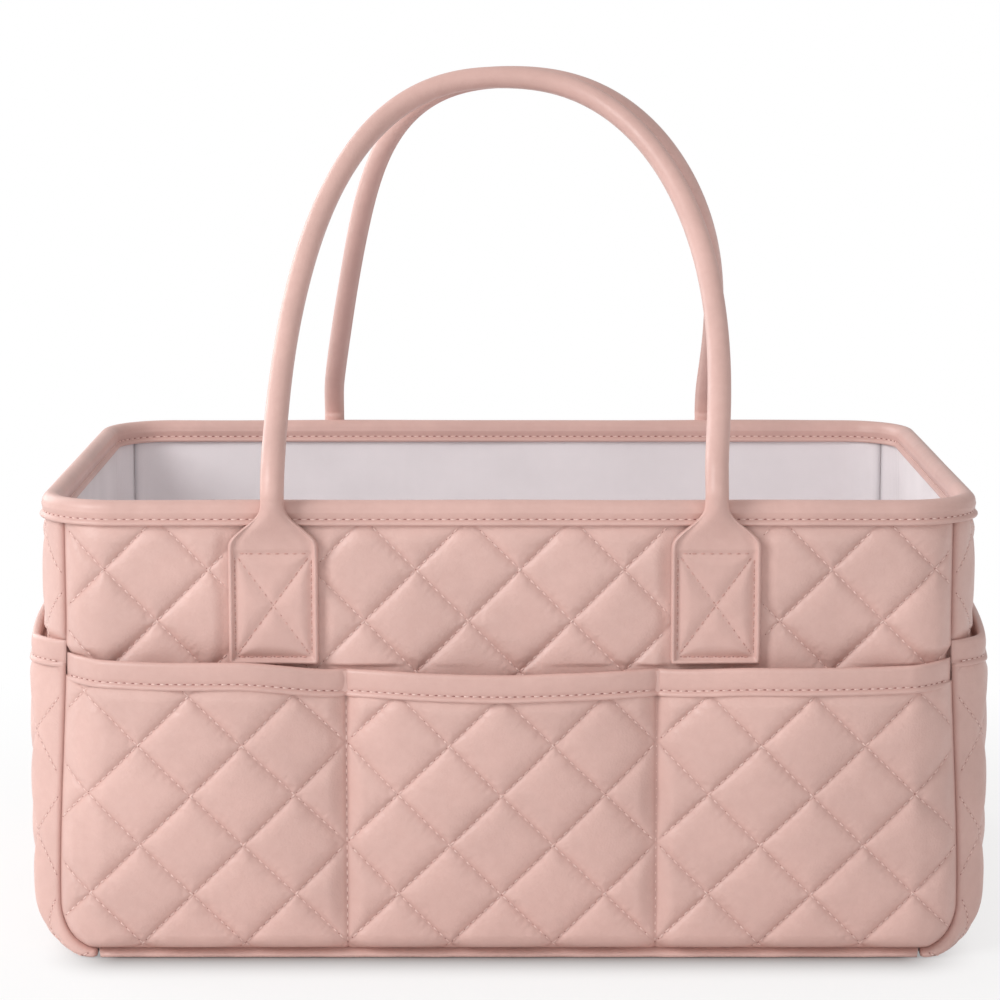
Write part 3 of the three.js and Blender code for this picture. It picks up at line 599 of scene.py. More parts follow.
def face_pocket_surface(x, z, lift=0.0):
    """Outer side of a long face's pocket, below its binding."""
    fade = smooth(face_edge(x, z) / SEAM_FADE)
    top = mouth_line(x) - POCKET_BINDING
    fade = fade * (1 - 0.5 * smooth((z - top + 5) / 5))
    division = division_distance(x)
    fade = fade * smooth((division + 0.6) / 8)
    relief = quilt_relief(x - POCKET_QUILT[0], z - POCKET_QUILT[1], 1.3) * PUFF * fade
    crease = 0.5 * bell(division, 0.9)
    slack = 0.5 * ripple(x, z, 120, 2.1) * bag_share(x) * smooth(z / 60)
    sink = face_pocket_sink(x, z) - POCKET_THICK - relief - slack + crease
    return face_point(x, z, sink + edge_roll(face_edge(x, z)) * face_hem(z) - lift)


def face_pocket(side):
    xs = np.linspace(-SEAM_X, SEAM_X, 441)
    foot = mouth_line(xs) - POCKET_BINDING + 1.5
    rows = HEEL + (foot[:, None] - HEEL) * np.linspace(0, 1, 130)
    z = np.concatenate([np.broadcast_to(HEEL_Z[:-1], (len(xs), len(HEEL_Z) - 1)), rows], 1)
    x = column_place(np.broadcast_to(xs[:, None], z.shape), z)
    outer = face_pocket_surface(x, z)
    inner = face_point(x, z, face_pocket_sink(x, z))
    edge = face_edge(x, z)
    # Painted shade along the pocket's seams and at its divisions
    sewn = bell(edge, SEAM_SHADE_WIDE) * face_hem(z)
    seam = np.maximum(sewn, 0.8 * bell(division_distance(x), 0.7))
    marks = quilt_marks(seam, x - POCKET_QUILT[0], z - POCKET_QUILT[1], smooth(edge / 4))
    quilted_piece(f"{side}_quilted_pocket", f"{side}_pocket", outer, inner, marks, side == "back")


def end_seam(across, along):
    side = 1 - smooth((strip_edge(across)) / 20)
    hem = 1 - smooth((along - END_FOOT) / 8)
    return np.maximum(side, hem)


def end_bag(across):
    return np.cos(math.pi / 2 * np.clip(np.abs(across) / STRIP_HALF, 0, 1)) ** 0.8


def end_pocket_sink(across, along):
    rise = np.clip((along - END_FOOT) / (END_MOUTH - END_FOOT), 0, 1) ** 0.45
    return mix(-GAP - END_BULGE * end_bag(across) * rise, POCKET_THICK, end_seam(across, along))


def end_edge(across, along):
    return np.minimum(strip_edge(across), np.maximum(along - END_FOOT, 0))


def end_pocket_surface(along, across, hand):
    fade = smooth((strip_edge(across) - 5) / END_FADE) * smooth((along - END_FOOT) / 30)
    fade = fade * (1 - 0.5 * smooth((along - END_MOUTH + POCKET_BINDING + 5) / 5))
    relief = quilt_relief(across, along - END_QUILT[1], 3.1 + hand) * PUFF * fade
    slack = 0.5 * ripple(across, along, 90, 4.0 + hand) * end_bag(across)
    sink = end_pocket_sink(across, along) - POCKET_THICK - relief - slack
    roll = edge_roll(strip_edge(across)) * strip_hem(along)
    return strip_point(along, across, hand, sink + roll + edge_roll(along - END_FOOT, 0.4, 0.8))


def end_pocket(side, hand):
    across = np.linspace(-STRIP_HALF, STRIP_HALF, 175)
    along = np.linspace(END_MOUTH - POCKET_BINDING + 1.5, END_FOOT, 90)
    a, c = np.meshgrid(along, across, indexing="ij")
    outer = end_pocket_surface(a, c, hand)
    inner = strip_point(a, c, hand, end_pocket_sink(c, a))
    edge = end_edge(c, a)
    # Painted shade along the pocket's seams
    marks = quilt_marks(bell(edge, SEAM_SHADE_WIDE), c, a - END_QUILT[1], smooth(edge / 4))
    quilted_piece(f"{side}_quilted_pocket", f"{side}_pocket", outer, inner, marks)


# Bindings


def fold_profile(leaf, thick, height, drop=2.4, lip=0.85, steps=7):
    """Outer side of a folded binding, as (out, down) from the mouth's top, outer foot first.

    thick is what it folds over and leaf its own thickness; a stitch line pinches it near its foot.
    """
    half = thick / 2 + leaf
    middle = thick / 2
    outside = middle + half
    profile = []
    for up in (0, 0.25, 0.7, 1.3, 1.9):
        swell = lip * math.sin(math.pi * min((up + 0.35) / drop, 1))
        profile.append((outside + swell - (0 if up else 0.75 * leaf), height - up))
    for past in (0, 0.8, 1.8):
        profile.append((outside - 0.42 * math.exp(-((past / 0.8) ** 2)), height - drop - past))
    run = height - drop - 1.8
    for k, swell in ((1, 0.1875), (2, 0.1875), (3, 0)):
        profile.append((outside + swell, run + (half - run) * k / 3))
    back = [(2 * middle - out, down) for out, down in profile]
    for angle in np.linspace(0, math.pi, 2 * steps + 1)[1:-1]:
        profile.append((middle + half * math.cos(angle), half - half * math.sin(angle)))
    return profile + back[::-1]


def face_mouth(x):
    """Sink of a face pocket's mouth, and how much it stands off its plain bag."""
    slack = 0.5 * ripple(x, np.full_like(x, MOUTH - POCKET_BINDING), 120, 2.1) * bag_share(x)
    return face_pocket_sink(x, np.full_like(x, MOUTH)), slack


def face_mouth_point(x, down, sink):
    return face_point(x, mouth_line(x) - down, sink)


def end_mouth(across, hand):
    height = np.full_like(across, END_MOUTH)
    slack = 0.5 * ripple(across, height - POCKET_BINDING, 90, 4.0 + hand) * end_bag(across)
    return end_pocket_sink(across, height), slack


def end_mouth_point(hand):
    return lambda across, down, sink: strip_point(END_MOUTH - down, across, hand, sink)


def pocket_binding(side, at, mouth, place, wave=0.0, division=99.0):
    """Leather folded over a pocket's mouth; place turns (at, down, sink) into a point."""
    base, slack = (a[:, None] for a in mouth)
    pulled = pulled_in(at[-1] - np.abs(at))[:, None]
    at = at[:, None]
    out, down = np.array(fold_profile(LEAF, POCKET_THICK, BINDING_FOOT)).T
    outside = out > 1.4
    proud = out + slack * 0.7 - 0.45 * bell(division, 1.1) * outside
    outer = place(at, down + wave, base - proud * pulled)
    inner = place(at, np.maximum(down, LEAF), base - (1.0 + (out - 1.0) * 0.58) * pulled)
    # Painted shade in the binding's stitch groove and at the divisions
    line = bell(POCKET_BINDING - 2.2 - down, 0.7) * 0.5
    line = np.maximum(line, bell(division, 0.8) * 0.8) * outside
    name = f"{side}_pocket_folded_binding"
    sheet_piece(name, f"{side}_pocket_binding", outer, inner, SMOOTH, line, side == "back", 6)


def face_pocket_binding(side):
    xs = np.linspace(-SEAM_X, SEAM_X, 300)
    wave = 0.12 * ripple(xs, xs * 0, 34, 5)[:, None]
    pocket_binding(side, xs, face_mouth(xs), face_mouth_point, wave, division_distance(xs)[:, None])


def end_pocket_binding(side, hand):
    across = np.linspace(-STRIP_HALF, STRIP_HALF, 170)
    pocket_binding(side, across, end_mouth(across, hand), end_mouth_point(hand))


def rim_path(step=1.6):
    """Corner centres and directions of the rim's outline, once round."""
    turn = np.linspace(0, math.pi / 2, 24)[1:-1]
    parts = []
    for quarter, (cx, cy) in enumerate(((1, -1), (1, 1), (-1, 1), (-1, -1))):
        along_x = quarter % 2 == 0
        half = FACE_FLAT if along_x else END_FLAT
        run = np.linspace(-half, half, int(2 * half / step)) * (1 if quarter < 2 else -1)
        corner_x, corner_y = cx * FACE_FLAT, cy * END_FLAT
        facing = (quarter - 1) * math.pi / 2
        straight = (run, corner_y, facing) if along_x else (corner_x, run, facing)
        parts += [np.broadcast_arrays(*straight), np.broadcast_arrays(corner_x, corner_y, turn + facing)]
    return [np.concatenate(values) for values in zip(*parts)]


def rim_wave(x, y):
    return 0.35 * ripple(x, y, 95, 0.7)


def rim_at(x, y, angle, sink, z):
    x, y, angle, sink, z = np.broadcast_arrays(x, y, angle, sink, z)
    radius = UPRIGHT - sink
    return np.stack([x + radius * np.cos(angle), y + radius * np.sin(angle), z], -1)


def rim_binding():
    x, y, angle = (a[:, None] for a in rim_path())
    height = HEIGHT - RIM_FOOT
    out, down = np.array(fold_profile(1.25, CAVITY_SINK, height, drop=2.5, lip=1.0, steps=8)).T
    wave = rim_wave(x, y)
    z = HEIGHT - down + wave * (1 - down / height) * 0.6
    outer = rim_at(x, y, angle, CAVITY_SINK - out + wave * 0.2, z)
    slot_out = CAVITY_SINK / 2 + (out - CAVITY_SINK / 2) * 0.75
    inner = rim_at(x, y, angle, CAVITY_SINK - slot_out, HEIGHT - np.maximum(down, 2.4) + 0 * x)
    # Painted shade in the binding's stitch groove
    line = bell(height - 2.5 - down, 0.7) * 0.5
    sheet_piece("folded_rim_binding", "rim_binding", outer, inner, SMOOTH, line, step=5, wrap=True)


# Panels, strip and lining


def recess_share(z, mouth_top):
    return np.clip((mouth_top + 3 - z) / 4, 0, 1)


def tab_press(x, z):
    """1 away from the tabs, less where a tab lies on the quilting."""
    press = np.ones(np.broadcast(x, z).shape)
    for tab in TABS:
        beside = smooth((np.abs(x - tab) - TAB_HALF - 0.5) / 6)
        under = smooth((TAB_BOTTOM - 2 - z) / 5)
        press = np.minimum(press, mix(0.25, 1, np.maximum(beside, under)))
    return press


def face_panel_surface(x, z):
    seam = face_seam(x, z) * recess_share(z, MOUTH + MOUTH_RISE[0])
    edge = side_edge(x, z)
    fade = smooth(edge / SEAM_FADE) * (1 - seam) * smooth((z - PANEL_FOOT) / 8)
    fade = fade * np.where(z < MOUTH + 1, bag_share(x), 1) * tab_press(x, z)
    fade = fade * mix(0.2, 1, smooth((RIM_FOOT + 1 - z) / 8))
    relief = quilt_relief(x - PANEL_QUILT[0], z - PANEL_QUILT[1], 0.4) * PUFF * fade
    return face_point(x, z, RECESS * seam - relief + edge_roll(edge))


def face_panel(side):
    xs = np.linspace(-SEAM_X, SEAM_X, 441)
    zs = [HEEL_Z[:-1:6], np.linspace(HEEL, PANEL_FOOT, 9)[:-1], np.linspace(PANEL_FOOT, WALL_TOP, 115)]
    x, z = np.meshgrid(xs, np.concatenate(zs), indexing="ij")
    x = column_place(x, z)
    outer = face_panel_surface(x, z)
    seam = face_seam(x, z) * recess_share(z, MOUTH + MOUTH_RISE[0])
    inner = face_point(x, z, PADDING + SEAM_TUCK * seam)
    edge = side_edge(x, z)
    fade = smooth(edge / 4) * tab_press(x, z) * smooth((z - PANEL_FOOT) / 8)
    # Painted shade along the side seams
    marks = quilt_marks(bell(edge, SEAM_SHADE_WIDE), x - PANEL_QUILT[0], z - PANEL_QUILT[1], fade)
    quilted_piece(f"{side}_quilted_panel", f"{side}_panel", outer, inner, marks, side == "back")


def strip_recess(along, across):
    """1 where an end pocket's edge lies on the strip, which gives way there."""
    below = np.clip(along - END_FOOT + 1, 0, 1)
    return end_seam(across, along) * recess_share(along, END_MOUTH) * below


def strip_surface(along, across, hand):
    recess = strip_recess(along, across)
    edge = strip_edge(across)
    fade = smooth((edge - 5) / END_FADE) * (1 - recess) * smooth((along - STRIP_FOOT) / 8)
    fade = fade * np.where(along < END_MOUTH + 1, end_bag(across), 1)
    fade = fade * mix(0.2, 1, smooth((RIM_FOOT + 1 - along) / 8))
    relief = quilt_relief(across, along - END_QUILT[1], 5.2 + hand) * PUFF * fade
    roll = edge_roll(edge) * strip_hem(along)
    return strip_point(along, across, hand, RECESS * recess - relief + roll)


def gusset_strip():
    across = np.linspace(-STRIP_HALF, STRIP_HALF, 175)
    along = [
        np.linspace(WALL_TOP, 100, 66)[:-1],
        np.linspace(100, HEEL, 12)[:-1],
        np.linspace(HEEL, HEEL_END, 26)[:-1],
        np.linspace(HEEL_END, MIDDLE, 24),
    ]
    a, c = np.meshgrid(np.concatenate(along), across, indexing="ij")
    edge = strip_edge(c)
    fade = smooth((a - STRIP_FOOT) / 8) * smooth(edge / 4)
    # Painted shade along the strip's seams, less along the ground
    sewn = bell(edge, SEAM_SHADE_WIDE) * strip_hem(a)
    marks = quilt_marks(sewn, c, a - END_QUILT[1], fade)
    halves = []
    for hand in (-1, 1):
        inner = strip_point(a, c, hand, PADDING + SEAM_TUCK * strip_recess(a, c))
        halves.append((strip_surface(a, c, hand), inner, marks))
    join = [np.concatenate([left, right[-2::-1]]) for left, right in zip(*halves)]
    quilted_piece("quilted_gusset_strip", "side_and_base_strip", *join, fill=0.4)


def lining_sink(distance, a, b, seed):
    return CAVITY_SINK + 0.35 * ripple(a, b, 70, seed) * smooth(distance / 10) - 0.6 * np.exp(-distance / 1.4)


def face_lining(side):
    xs = np.linspace(-SEAM_X, SEAM_X, 181)
    zs = np.concatenate([HEEL_Z[:-1:3], np.linspace(HEEL, WALL_TOP, 60)])
    x, z = np.meshgrid(xs, zs, indexing="ij")
    x = column_place(x, z)
    distance = side_edge(x, z)
    visible = face_point(x, z, lining_sink(distance, x, z, 2.0 if side == "back" else 1.0))
    hidden = face_point(x, z, LINING_SINK)
    lining_piece(side, visible, hidden, distance)


def strip_lining(side, along, hand, seed):
    across = np.linspace(-STRIP_HALF, STRIP_HALF, 110)
    a, c = np.meshgrid(along, across, indexing="ij")
    distance = strip_edge(c)
    visible = strip_point(a, c, hand, lining_sink(distance, a, c, seed))
    hidden = strip_point(a, c, hand, LINING_SINK)
    if side == "floor":
        mirror = np.array([-1, 1, 1])
        visible, hidden = (np.concatenate([p, p[-2::-1] * mirror]) for p in (visible, hidden))
        distance = np.concatenate([distance, distance[-2::-1]])
    lining_piece(side, visible, hidden, distance)


def board(name, width, low, high, place):
    """A stiff board between the padding and the lining; place turns (across, up, in) into a point."""
    half = width / 2
    angle = np.linspace(0, math.pi / 2, 9)
    right = np.stack([half - BOARD_CORNER * (1 - np.sin(angle)), low + BOARD_CORNER * (1 - np.cos(angle))], 1)
    outline = np.concatenate([right[::-1] * (-1, 1), right, [(half, high), (-half, high)]])
    centre = np.array([0, (low + high) / 2])
    rings = []
    for deep, inset in ((0, 0.3), (0.3, 0), (BOARD_THICK - 0.3, 0), (BOARD_THICK, 0.3)):
        edge = centre + (outline - centre) * (1 - inset / np.abs(outline - centre).max(0))
        rings.append(np.stack(place(*edge.T, np.full(len(edge), deep)), 1))
    points = np.stack(rings)
    first, second, third = points[0, :3]
    bend = np.cross(second - first, third - second) @ (points[-1, 0] - first)
    piece = finish_piece(f"stiff_{name}", points, closed_faces(points), BOARD, flip=bend > 0)
    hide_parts(name)


def boards():
    sink = PADDING + GAP
    long, short = 2 * FACE_FLAT - 2, 2 * END_FLAT - 2
    wide = HALF_DEPTH - HEM - 1
    board("front_board", long, 12, BOARD_TOP, lambda x, z, deep: [x, deep + sink - HALF_DEPTH, z])
    board("back_board", long, 12, BOARD_TOP, lambda x, z, deep: [-x, HALF_DEPTH - deep - sink, z])
    board("left_board", short, HEEL, BOARD_TOP, lambda y, z, deep: [deep + sink - HALF_LENGTH, -y, z])
    board("right_board", short, HEEL, BOARD_TOP, lambda y, z, deep: [HALF_LENGTH - deep - sink, y, z])
    board("base_board", long, -wide, wide, lambda x, y, deep: [x, y, deep + sink])


# Tabs and handles: one leather piece each, flat at its two ends and rolled between them

TAB_BOX = (14.8, 122.0, 162.8)
SHOULDER = (162.0, 185.0)
SHOULDER_POWER = 1.6
APEX_RISE = 152.0
APEX_OUT = TUBE + 0.4
HANDLE_RISE = math.hypot(APEX_RISE, PIVOT_OUT - APEX_OUT)
HANDLE_LEAN = math.atan2(PIVOT_OUT - APEX_OUT, APEX_RISE)
DRAPES = {"front": (3.0, 2.5, 1.8), "back": (4.0, -7.0, -1.5)}
ARCH_POWER = 2 / 2.4
FRONT_POINTS = 48


def tab_half(z):
    share = np.clip((z - SHOULDER[0]) / (SHOULDER[1] - SHOULDER[0]), 0, 1)
    half = mix(TAB_HALF, TUBE, smooth(share**SHOULDER_POWER))
    corner = np.clip((z - TAB_BOTTOM) / 1.6, 0, 1)
    return half - 1.6 * (1 - np.sqrt(1 - (1 - corner) ** 2))


def tab_roll(z):
    return smooth((z - SHOULDER[0] - 4) / (SHOULDER[1] - SHOULDER[0] - 4))


def tab_height(u, z):
    """Height of a tab's front over its back: a turned edge, a sewn groove and a soft field."""
    d = np.minimum(tab_half(z) - np.abs(u), z - TAB_BOTTOM)
    d = np.maximum(d, 0)
    edge = 1.9 + 1.5 * np.sqrt(1 - (1 - np.clip(d / 1.1, 0, 1)) ** 2)
    fall = smooth((d - 1.2) / 1.1)
    field = 2.25 + 0.5 * smooth((d - 2.65) / 4)
    height = mix(edge, field, fall)
    across, low, high = TAB_BOX
    ratio = 2 * across / (high - low)
    middle = (low + high) / 2
    norm = math.hypot(1, ratio)
    strokes = [np.abs(u + sign * (z - middle) * ratio) / norm for sign in (-1, 1)]
    inside = (np.abs(u) < across) & (z > low) & (z < high)
    box = np.abs(np.maximum(np.abs(u) - across, np.maximum(low - z, z - high)))
    line = np.minimum(np.where(inside, np.minimum(*strokes), 9.0), box)
    return height - 0.55 * bell(line, 0.8) + np.where(inside, 0.75 * smooth(line / 5), 0)


def tab_proud(z):
    return mix(0.9, 1.6, smooth((z - SHOULDER[0] + 2) / 8))


def tab_section(z):
    """Cross-section (u, p) of the leather at a height of a tab, from flat to round."""
    half = float(tab_half(z))
    roll = float(tab_roll(z))
    phi = np.linspace(-math.pi / 2, math.pi / 2, FRONT_POINTS)
    u_front = half * np.sin(phi)
    p_front = tab_height(u_front, np.full_like(u_front, z))
    side_p = np.array([1.3, 0.7, 0.15])
    u_flat = np.concatenate([u_front, np.full(3, half), np.linspace(half - 0.4, -half + 0.4, 12), np.full(3, -half)])
    p_flat = np.concatenate([p_front, side_p, np.zeros(12), side_p[::-1]])
    u_round, p_round = round_section()
    return mix(u_flat, u_round, roll), mix(p_flat, p_round, roll)


def round_section():
    degrees = np.concatenate(
        [
            np.linspace(-25, 205, FRONT_POINTS),
            np.linspace(205, 222, 5)[1:-1],
            np.linspace(222, 318, 12),
            np.linspace(318, 335, 5)[1:-1],
        ]
    )
    angle = np.radians(degrees)
    size = TUBE + 0.3 * bell(degrees - 196, 6) - 0.28 * bell(degrees - 182, 5)
    return -size * np.cos(angle), TUBE + size * np.sin(angle)


def handle_path(side):
    """Middle line of the rolled part, from the left neck over the arch to the right one."""
    sway, shift, belly = DRAPES[side]
    middle = (TABS[0] + TABS[1]) / 2
    span = (TABS[1] - TABS[0]) / 2
    angle = np.linspace(0, math.pi, 240)
    across = -np.sign(np.cos(angle)) * np.abs(np.cos(angle)) ** ARCH_POWER
    rise = 9 + (HANDLE_RISE - 9) * np.abs(np.sin(angle)) ** ARCH_POWER
    share = (rise - 9) / (HANDLE_RISE - 9)
    swell = np.sin(math.pi * share)
    x = middle + span * across + sway * share + swell * (shift + np.sign(across) * belly)
    bow = -1.5 * swell
    c, s = math.cos(HANDLE_LEAN), math.sin(HANDLE_LEAN)
    arch = np.stack([x, -PIVOT_OUT + bow * c + rise * s, PIVOT_HEIGHT - bow * s + rise * c], 1)
    legs = []
    for tab in TABS:
        z = np.linspace(SHOULDER[1], PIVOT_HEIGHT - 1, 8)
        legs.append(np.stack([np.full_like(z, tab), np.full_like(z, -PIVOT_OUT), z], 1))
    route = np.concatenate([legs[0], arch, legs[1][::-1]])
    gaps = np.linalg.norm(np.diff(route, axis=0), axis=1)
    at = np.concatenate([[0], np.cumsum(gaps)])
    even = np.linspace(0, at[-1], int(at[-1] / 1.5))
    route = np.stack([np.interp(even, at, route[:, k]) for k in range(3)], 1)
    for _ in range(30):
        route[2:-2] = (route[1:-3] + route[2:-2] * 2 + route[3:-1]) / 4
    return route


def handle_leather(side):
    tab_z = np.concatenate(
        [
            TAB_BOTTOM + np.array([0, 0.15, 0.4, 0.7, 1.05, 1.5, 1.9, 2.3, 2.7, 3.0, 3.3, 3.7, 4.2]),
            np.linspace(TAB_BOTTOM + 5, 160.5, 44),
            np.linspace(161, SHOULDER[1] - 0.6, 34),
        ]
    )
    sections = [(z, *tab_section(z)) for z in tab_z]

    def tab_rings(tab, hand):
        return [
            np.stack([tab + hand * u, -(HALF_DEPTH + tab_proud(z) + p), np.full_like(u, z)], 1)
            for z, u, p in sections
        ]

    rings = tab_rings(TABS[0], 1)
    route = handle_path(side)
    tangent = np.gradient(route, axis=0)
    tangent /= np.linalg.norm(tangent, axis=1, keepdims=True)
    u, p = round_section()
    for k, (centre, t) in enumerate(zip(route, tangent)):
        normal = np.array([0.0, -1.0, 0.0]) + t * t[1]
        normal /= np.linalg.norm(normal)
        across = np.cross(t, normal)
        thick = 1 + 0.012 * math.sin(k / 9.0) + 0.01 * math.sin(k / 23.0 + 1)
        rings.append(centre + (np.outer(u, across) + np.outer(p - TUBE, normal)) * thick)
    points = np.stack(rings + tab_rings(TABS[1], -1)[::-1])
    back = side == "back"
    piece = finish_piece(f"{side}_rolled_handle", turned(points, back), closed_faces(points), SMOOTH, body=None)
    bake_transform(piece)
    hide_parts(*(f"{side}_{part}" for part in ("tab_a", "tab_b", "handle_cover", "handle_core")))


# Sewing


def sew_quilting(name, quilt, inside, place, back=False):
    """Stitches along a wall's quilting lines; place turns (across, up) into a point."""
    starts, ends = quilt_stitches(quilt, inside)
    u, v = starts.T
    a, b = place(u, v), place(*ends.T)
    normal = np.cross(place(u + 1, v) - a, place(u, v + 1) - a)
    inwards = np.sum(normal * (a - BODY_MIDDLE), 1, keepdims=True) < 0
    normal = np.where(inwards, -normal, normal)
    stitches_mesh(f"{name}_quilting_thread", *(turned(at, back) for at in (a, b, normal)), hole=0.8)


def add_quilt_sewing():
    def on_panel(x, z):
        inside = (z > mouth_line(x) - 9) & (z < RIM_FOOT - 0.6) & (np.abs(x) < half_at(z) - SEAM_CLEAR)
        for tab in TABS:
            inside &= (np.abs(x - tab) > TAB_HALF + 0.8) | (z < TAB_BOTTOM - 1)
        return inside

    def on_pocket(x, z):
        inside = (z > FOOT_Z + 2.5) & (z < mouth_line(x) - POCKET_BINDING - 0.4)
        return inside & (np.abs(x) < half_at(z) - SEAM_CLEAR) & (division_distance(x) > 0.9)

    for name, quilt, inside, surface in (
        ("panel", PANEL_QUILT, on_panel, face_panel_surface),
        ("pocket", POCKET_QUILT, on_pocket, face_pocket_surface),
    ):
        for side in ("front", "back"):
            sew_quilting(f"{side}_{name}", quilt, inside, surface, side == "back")
    for hand, side in ((-1, "left"), (1, "right")):
        for name, low, high, surface in (
            ("wall", END_MOUTH - 8, RIM_FOOT - 0.6, strip_surface),
            ("pocket", END_FOOT + 4, END_MOUTH - POCKET_BINDING - 0.4, end_pocket_surface),
        ):
            sew_quilting(
                f"{side}_{name}",
                END_QUILT,
                lambda c, a: (a > low) & (a < high) & (np.abs(c) < STRIP_HALF - SEAM_CLEAR),
                lambda c, a: surface(a, c, hand),
            )


def run_stitches(path, normals):
    """Starts, ends and normals of stitches at an even step along a polyline."""
    gaps = np.linalg.norm(np.diff(path, axis=0), axis=1)
    at = np.concatenate([[0], np.cumsum(gaps)])
    count = max(int((at[-1] - 0.5) / STITCH_STEP), 1)
    first = (at[-1] - count * STITCH_STEP) / 2 + (STITCH_STEP - STITCH_LONG) / 2
    starts = first + np.arange(count) * STITCH_STEP
    ends = starts + STITCH_LONG

    def sample(values, places):
        return np.stack([np.interp(places, at, values[:, k]) for k in range(3)], 1)

    return sample(path, starts), sample(path, ends), sample(normals, (starts + ends) / 2)


def sew(name, runs, back=False, **options):
    """Sews along runs: each is a polyline with the directions out of the leather."""
    parts = zip(*(run_stitches(*run) for run in runs))
    stitches_mesh(name, *(turned(np.concatenate(part), back) for part in parts), **options)


def binding_run(at, mouth, place):
    """The stitch line of a pocket's binding."""
    base, slack = mouth
    sink = base - slack * 0.7 - 2.45
    down = BINDING_FOOT - 2.4
    path = place(at, down, sink)
    return path, place(at, down, sink - 2) - path


def add_edge_sewing():
    x, y, angle = (np.append(a, a[0]) for a in rim_path(3.0))
    z = RIM_FOOT + 2.5 + rim_wave(x, y) * 0.15
    out = np.stack([np.cos(angle), np.sin(angle), np.zeros_like(angle)], 1)
    runs = [
        (rim_at(x, y, angle, -1.25 + 0.3, z), out),
        (rim_at(x, y, angle, CAVITY_SINK + 1.25 - 0.3, z), -out),
    ]
    sew("rim_binding_thread", runs, wide=0.6, hole=1.3)
    across, low, high = TAB_BOX
    corners = [(-across, low), (across, low), (across, high), (-across, high)]
    legs = list(zip(corners, corners[1:] + corners[:1])) + [corners[::2], corners[1::2]]
    left, right = DIVISIONS
    for side in ("front", "back"):
        back = side == "back"
        runs = []
        for low, high in ((-SEAM_X + 3, left - 1), (left + 1, right - 1), (right + 1, SEAM_X - 3)):
            xs = np.linspace(low, high, 80)
            runs.append(binding_run(xs, face_mouth(xs), face_mouth_point))
        for division in DIVISIONS:
            zs = np.linspace(FOOT_Z + 3, mouth_line(division) - POCKET_BINDING - 0.5, 60)
            xs = np.full_like(zs, division)
            path = face_pocket_surface(xs, zs)
            runs.append((path, face_pocket_surface(xs, zs, 2.0) - path))
        sew(f"{side}_pocket_edge_thread", runs, back, wide=0.6, hole=1.3)
        runs = []
        for tab in TABS:
            for leg in legs:
                u, z = np.linspace(*leg, 40).T
                path = np.stack([tab + u, -(HALF_DEPTH + tab_proud(z) + tab_height(u, z)), z], 1)
                runs.append((path, np.tile([0, -1.0, 0], (40, 1))))
        sew(f"{side}_tab_thread", runs, back, thread=TAB_THREAD, wide=0.6, hole=1.35)
    for hand, side in ((-1, "left"), (1, "right")):
        across = np.linspace(-STRIP_HALF + 3, STRIP_HALF - 3, 120)
        sew(f"{side}_pocket_edge_thread", [binding_run(across, end_mouth(across, hand), end_mouth_point(hand))])


# Materials


class Nodes:
    """The node tree of a material or a world, with short ways to add and link nodes."""

    def __init__(self, owner):
        owner.use_nodes = True
        self.owner = owner
        self.tree = owner.node_tree

    @cached_property
    def place(self):
        return self.add("ShaderNodeTexCoord").outputs["Object"]

    def put(self, node, inputs):
        """Links each of a node's inputs to an output, or gives it a plain value."""
        for key, value in inputs.items():
            if hasattr(value, "links"):
                self.tree.links.new(value, node.inputs[key])
            else:
                node.inputs[key].default_value = value

    def add(self, kind, inputs=None, **settings):
        node = self.tree.nodes.new(kind)
        for key, value in settings.items():
            setattr(node, key, value)
        self.put(node, inputs or {})
        return node

    def noise(self, scale, detail=3.0, rough=0.55):
        inputs = {"Scale": scale, "Detail": detail, "Roughness": rough, "Vector": self.place}
        return self.add("ShaderNodeTexNoise", inputs).outputs["Fac"]

    def span(self, value, low, high, to_low=0, to_high=1, way="LINEAR"):
        inputs = {"Value": value, "From Min": low, "From Max": high, "To Min": to_low, "To Max": to_high}
        return self.add("ShaderNodeMapRange", inputs, interpolation_type=way).outputs["Result"]

    def blend(self, share, *colours):
        first, second = (c if hasattr(c, "links") else (*c, 1) for c in colours)
        return self.add("ShaderNodeMix", {"Factor": share, 6: first, 7: second}, data_type="RGBA").outputs[2]

    def bump(self, height, strength, distance, before=None):
        inputs = {"Strength": strength, "Distance": distance, "Height": height}
        if before is not None:
            inputs["Normal"] = before
        return self.add("ShaderNodeBump", inputs).outputs["Normal"]

    def math(self, operation, first, second):
        return self.add("ShaderNodeMath", {0: first, 1: second}, operation=operation).outputs[0]

    # Share of painted shade in seams and creases, from the crease attribute.
    def crease(self, share):
        marks = self.add("ShaderNodeAttribute", attribute_name="crease")
        return self.math("MULTIPLY", marks.outputs["Fac"], share)

    def quilt_line(self, width):
        """1 on a quilting line and 0 from a width beside it on, in millimetres."""
        marks = self.add("ShaderNodeAttribute", attribute_name="quilt").outputs["Vector"]
        a, b, fade = self.add("ShaderNodeSeparateXYZ", {0: marks}).outputs
        beside = [self.math("PINGPONG", count, 0.5) for count in (a, b)]
        near = self.span(self.math("MINIMUM", *beside), 0, width / SPACING, 1, 0, "SMOOTHSTEP")
        return self.math("MULTIPLY", near, fade)

    def surface(self, colour, rough, normal, **more):
        """Sets the material's shader; more names its other inputs, with _ for a space."""
        inputs = {"Base Color": colour, "Roughness": rough, "Normal": normal}
        inputs.update({key.replace("_", " "): value for key, value in more.items()})
        self.put(self.tree.nodes["Principled BSDF"], inputs)
        return self.owner


def new_material(name):
    return Nodes(bpy.data.materials.new(name))


def shade(*rgb):
    """sRGB bytes to the linear colour that a shader takes."""
    shares = [byte / 255 for byte in rgb]
    return tuple(c / 12.92 if c <= 0.04045 else ((c + 0.055) / 1.055) ** 2.4 for c in shares)


def dimmed(colour, share):
    return tuple(min(c * share, 1) for c in colour)


# Deep rose: the leather's own fine speckle, and painted shade along seams, stitch grooves, creases and quilting
# lines.
SPECKLE_AND_CREASE_SHADE = shade(176, 122, 112)


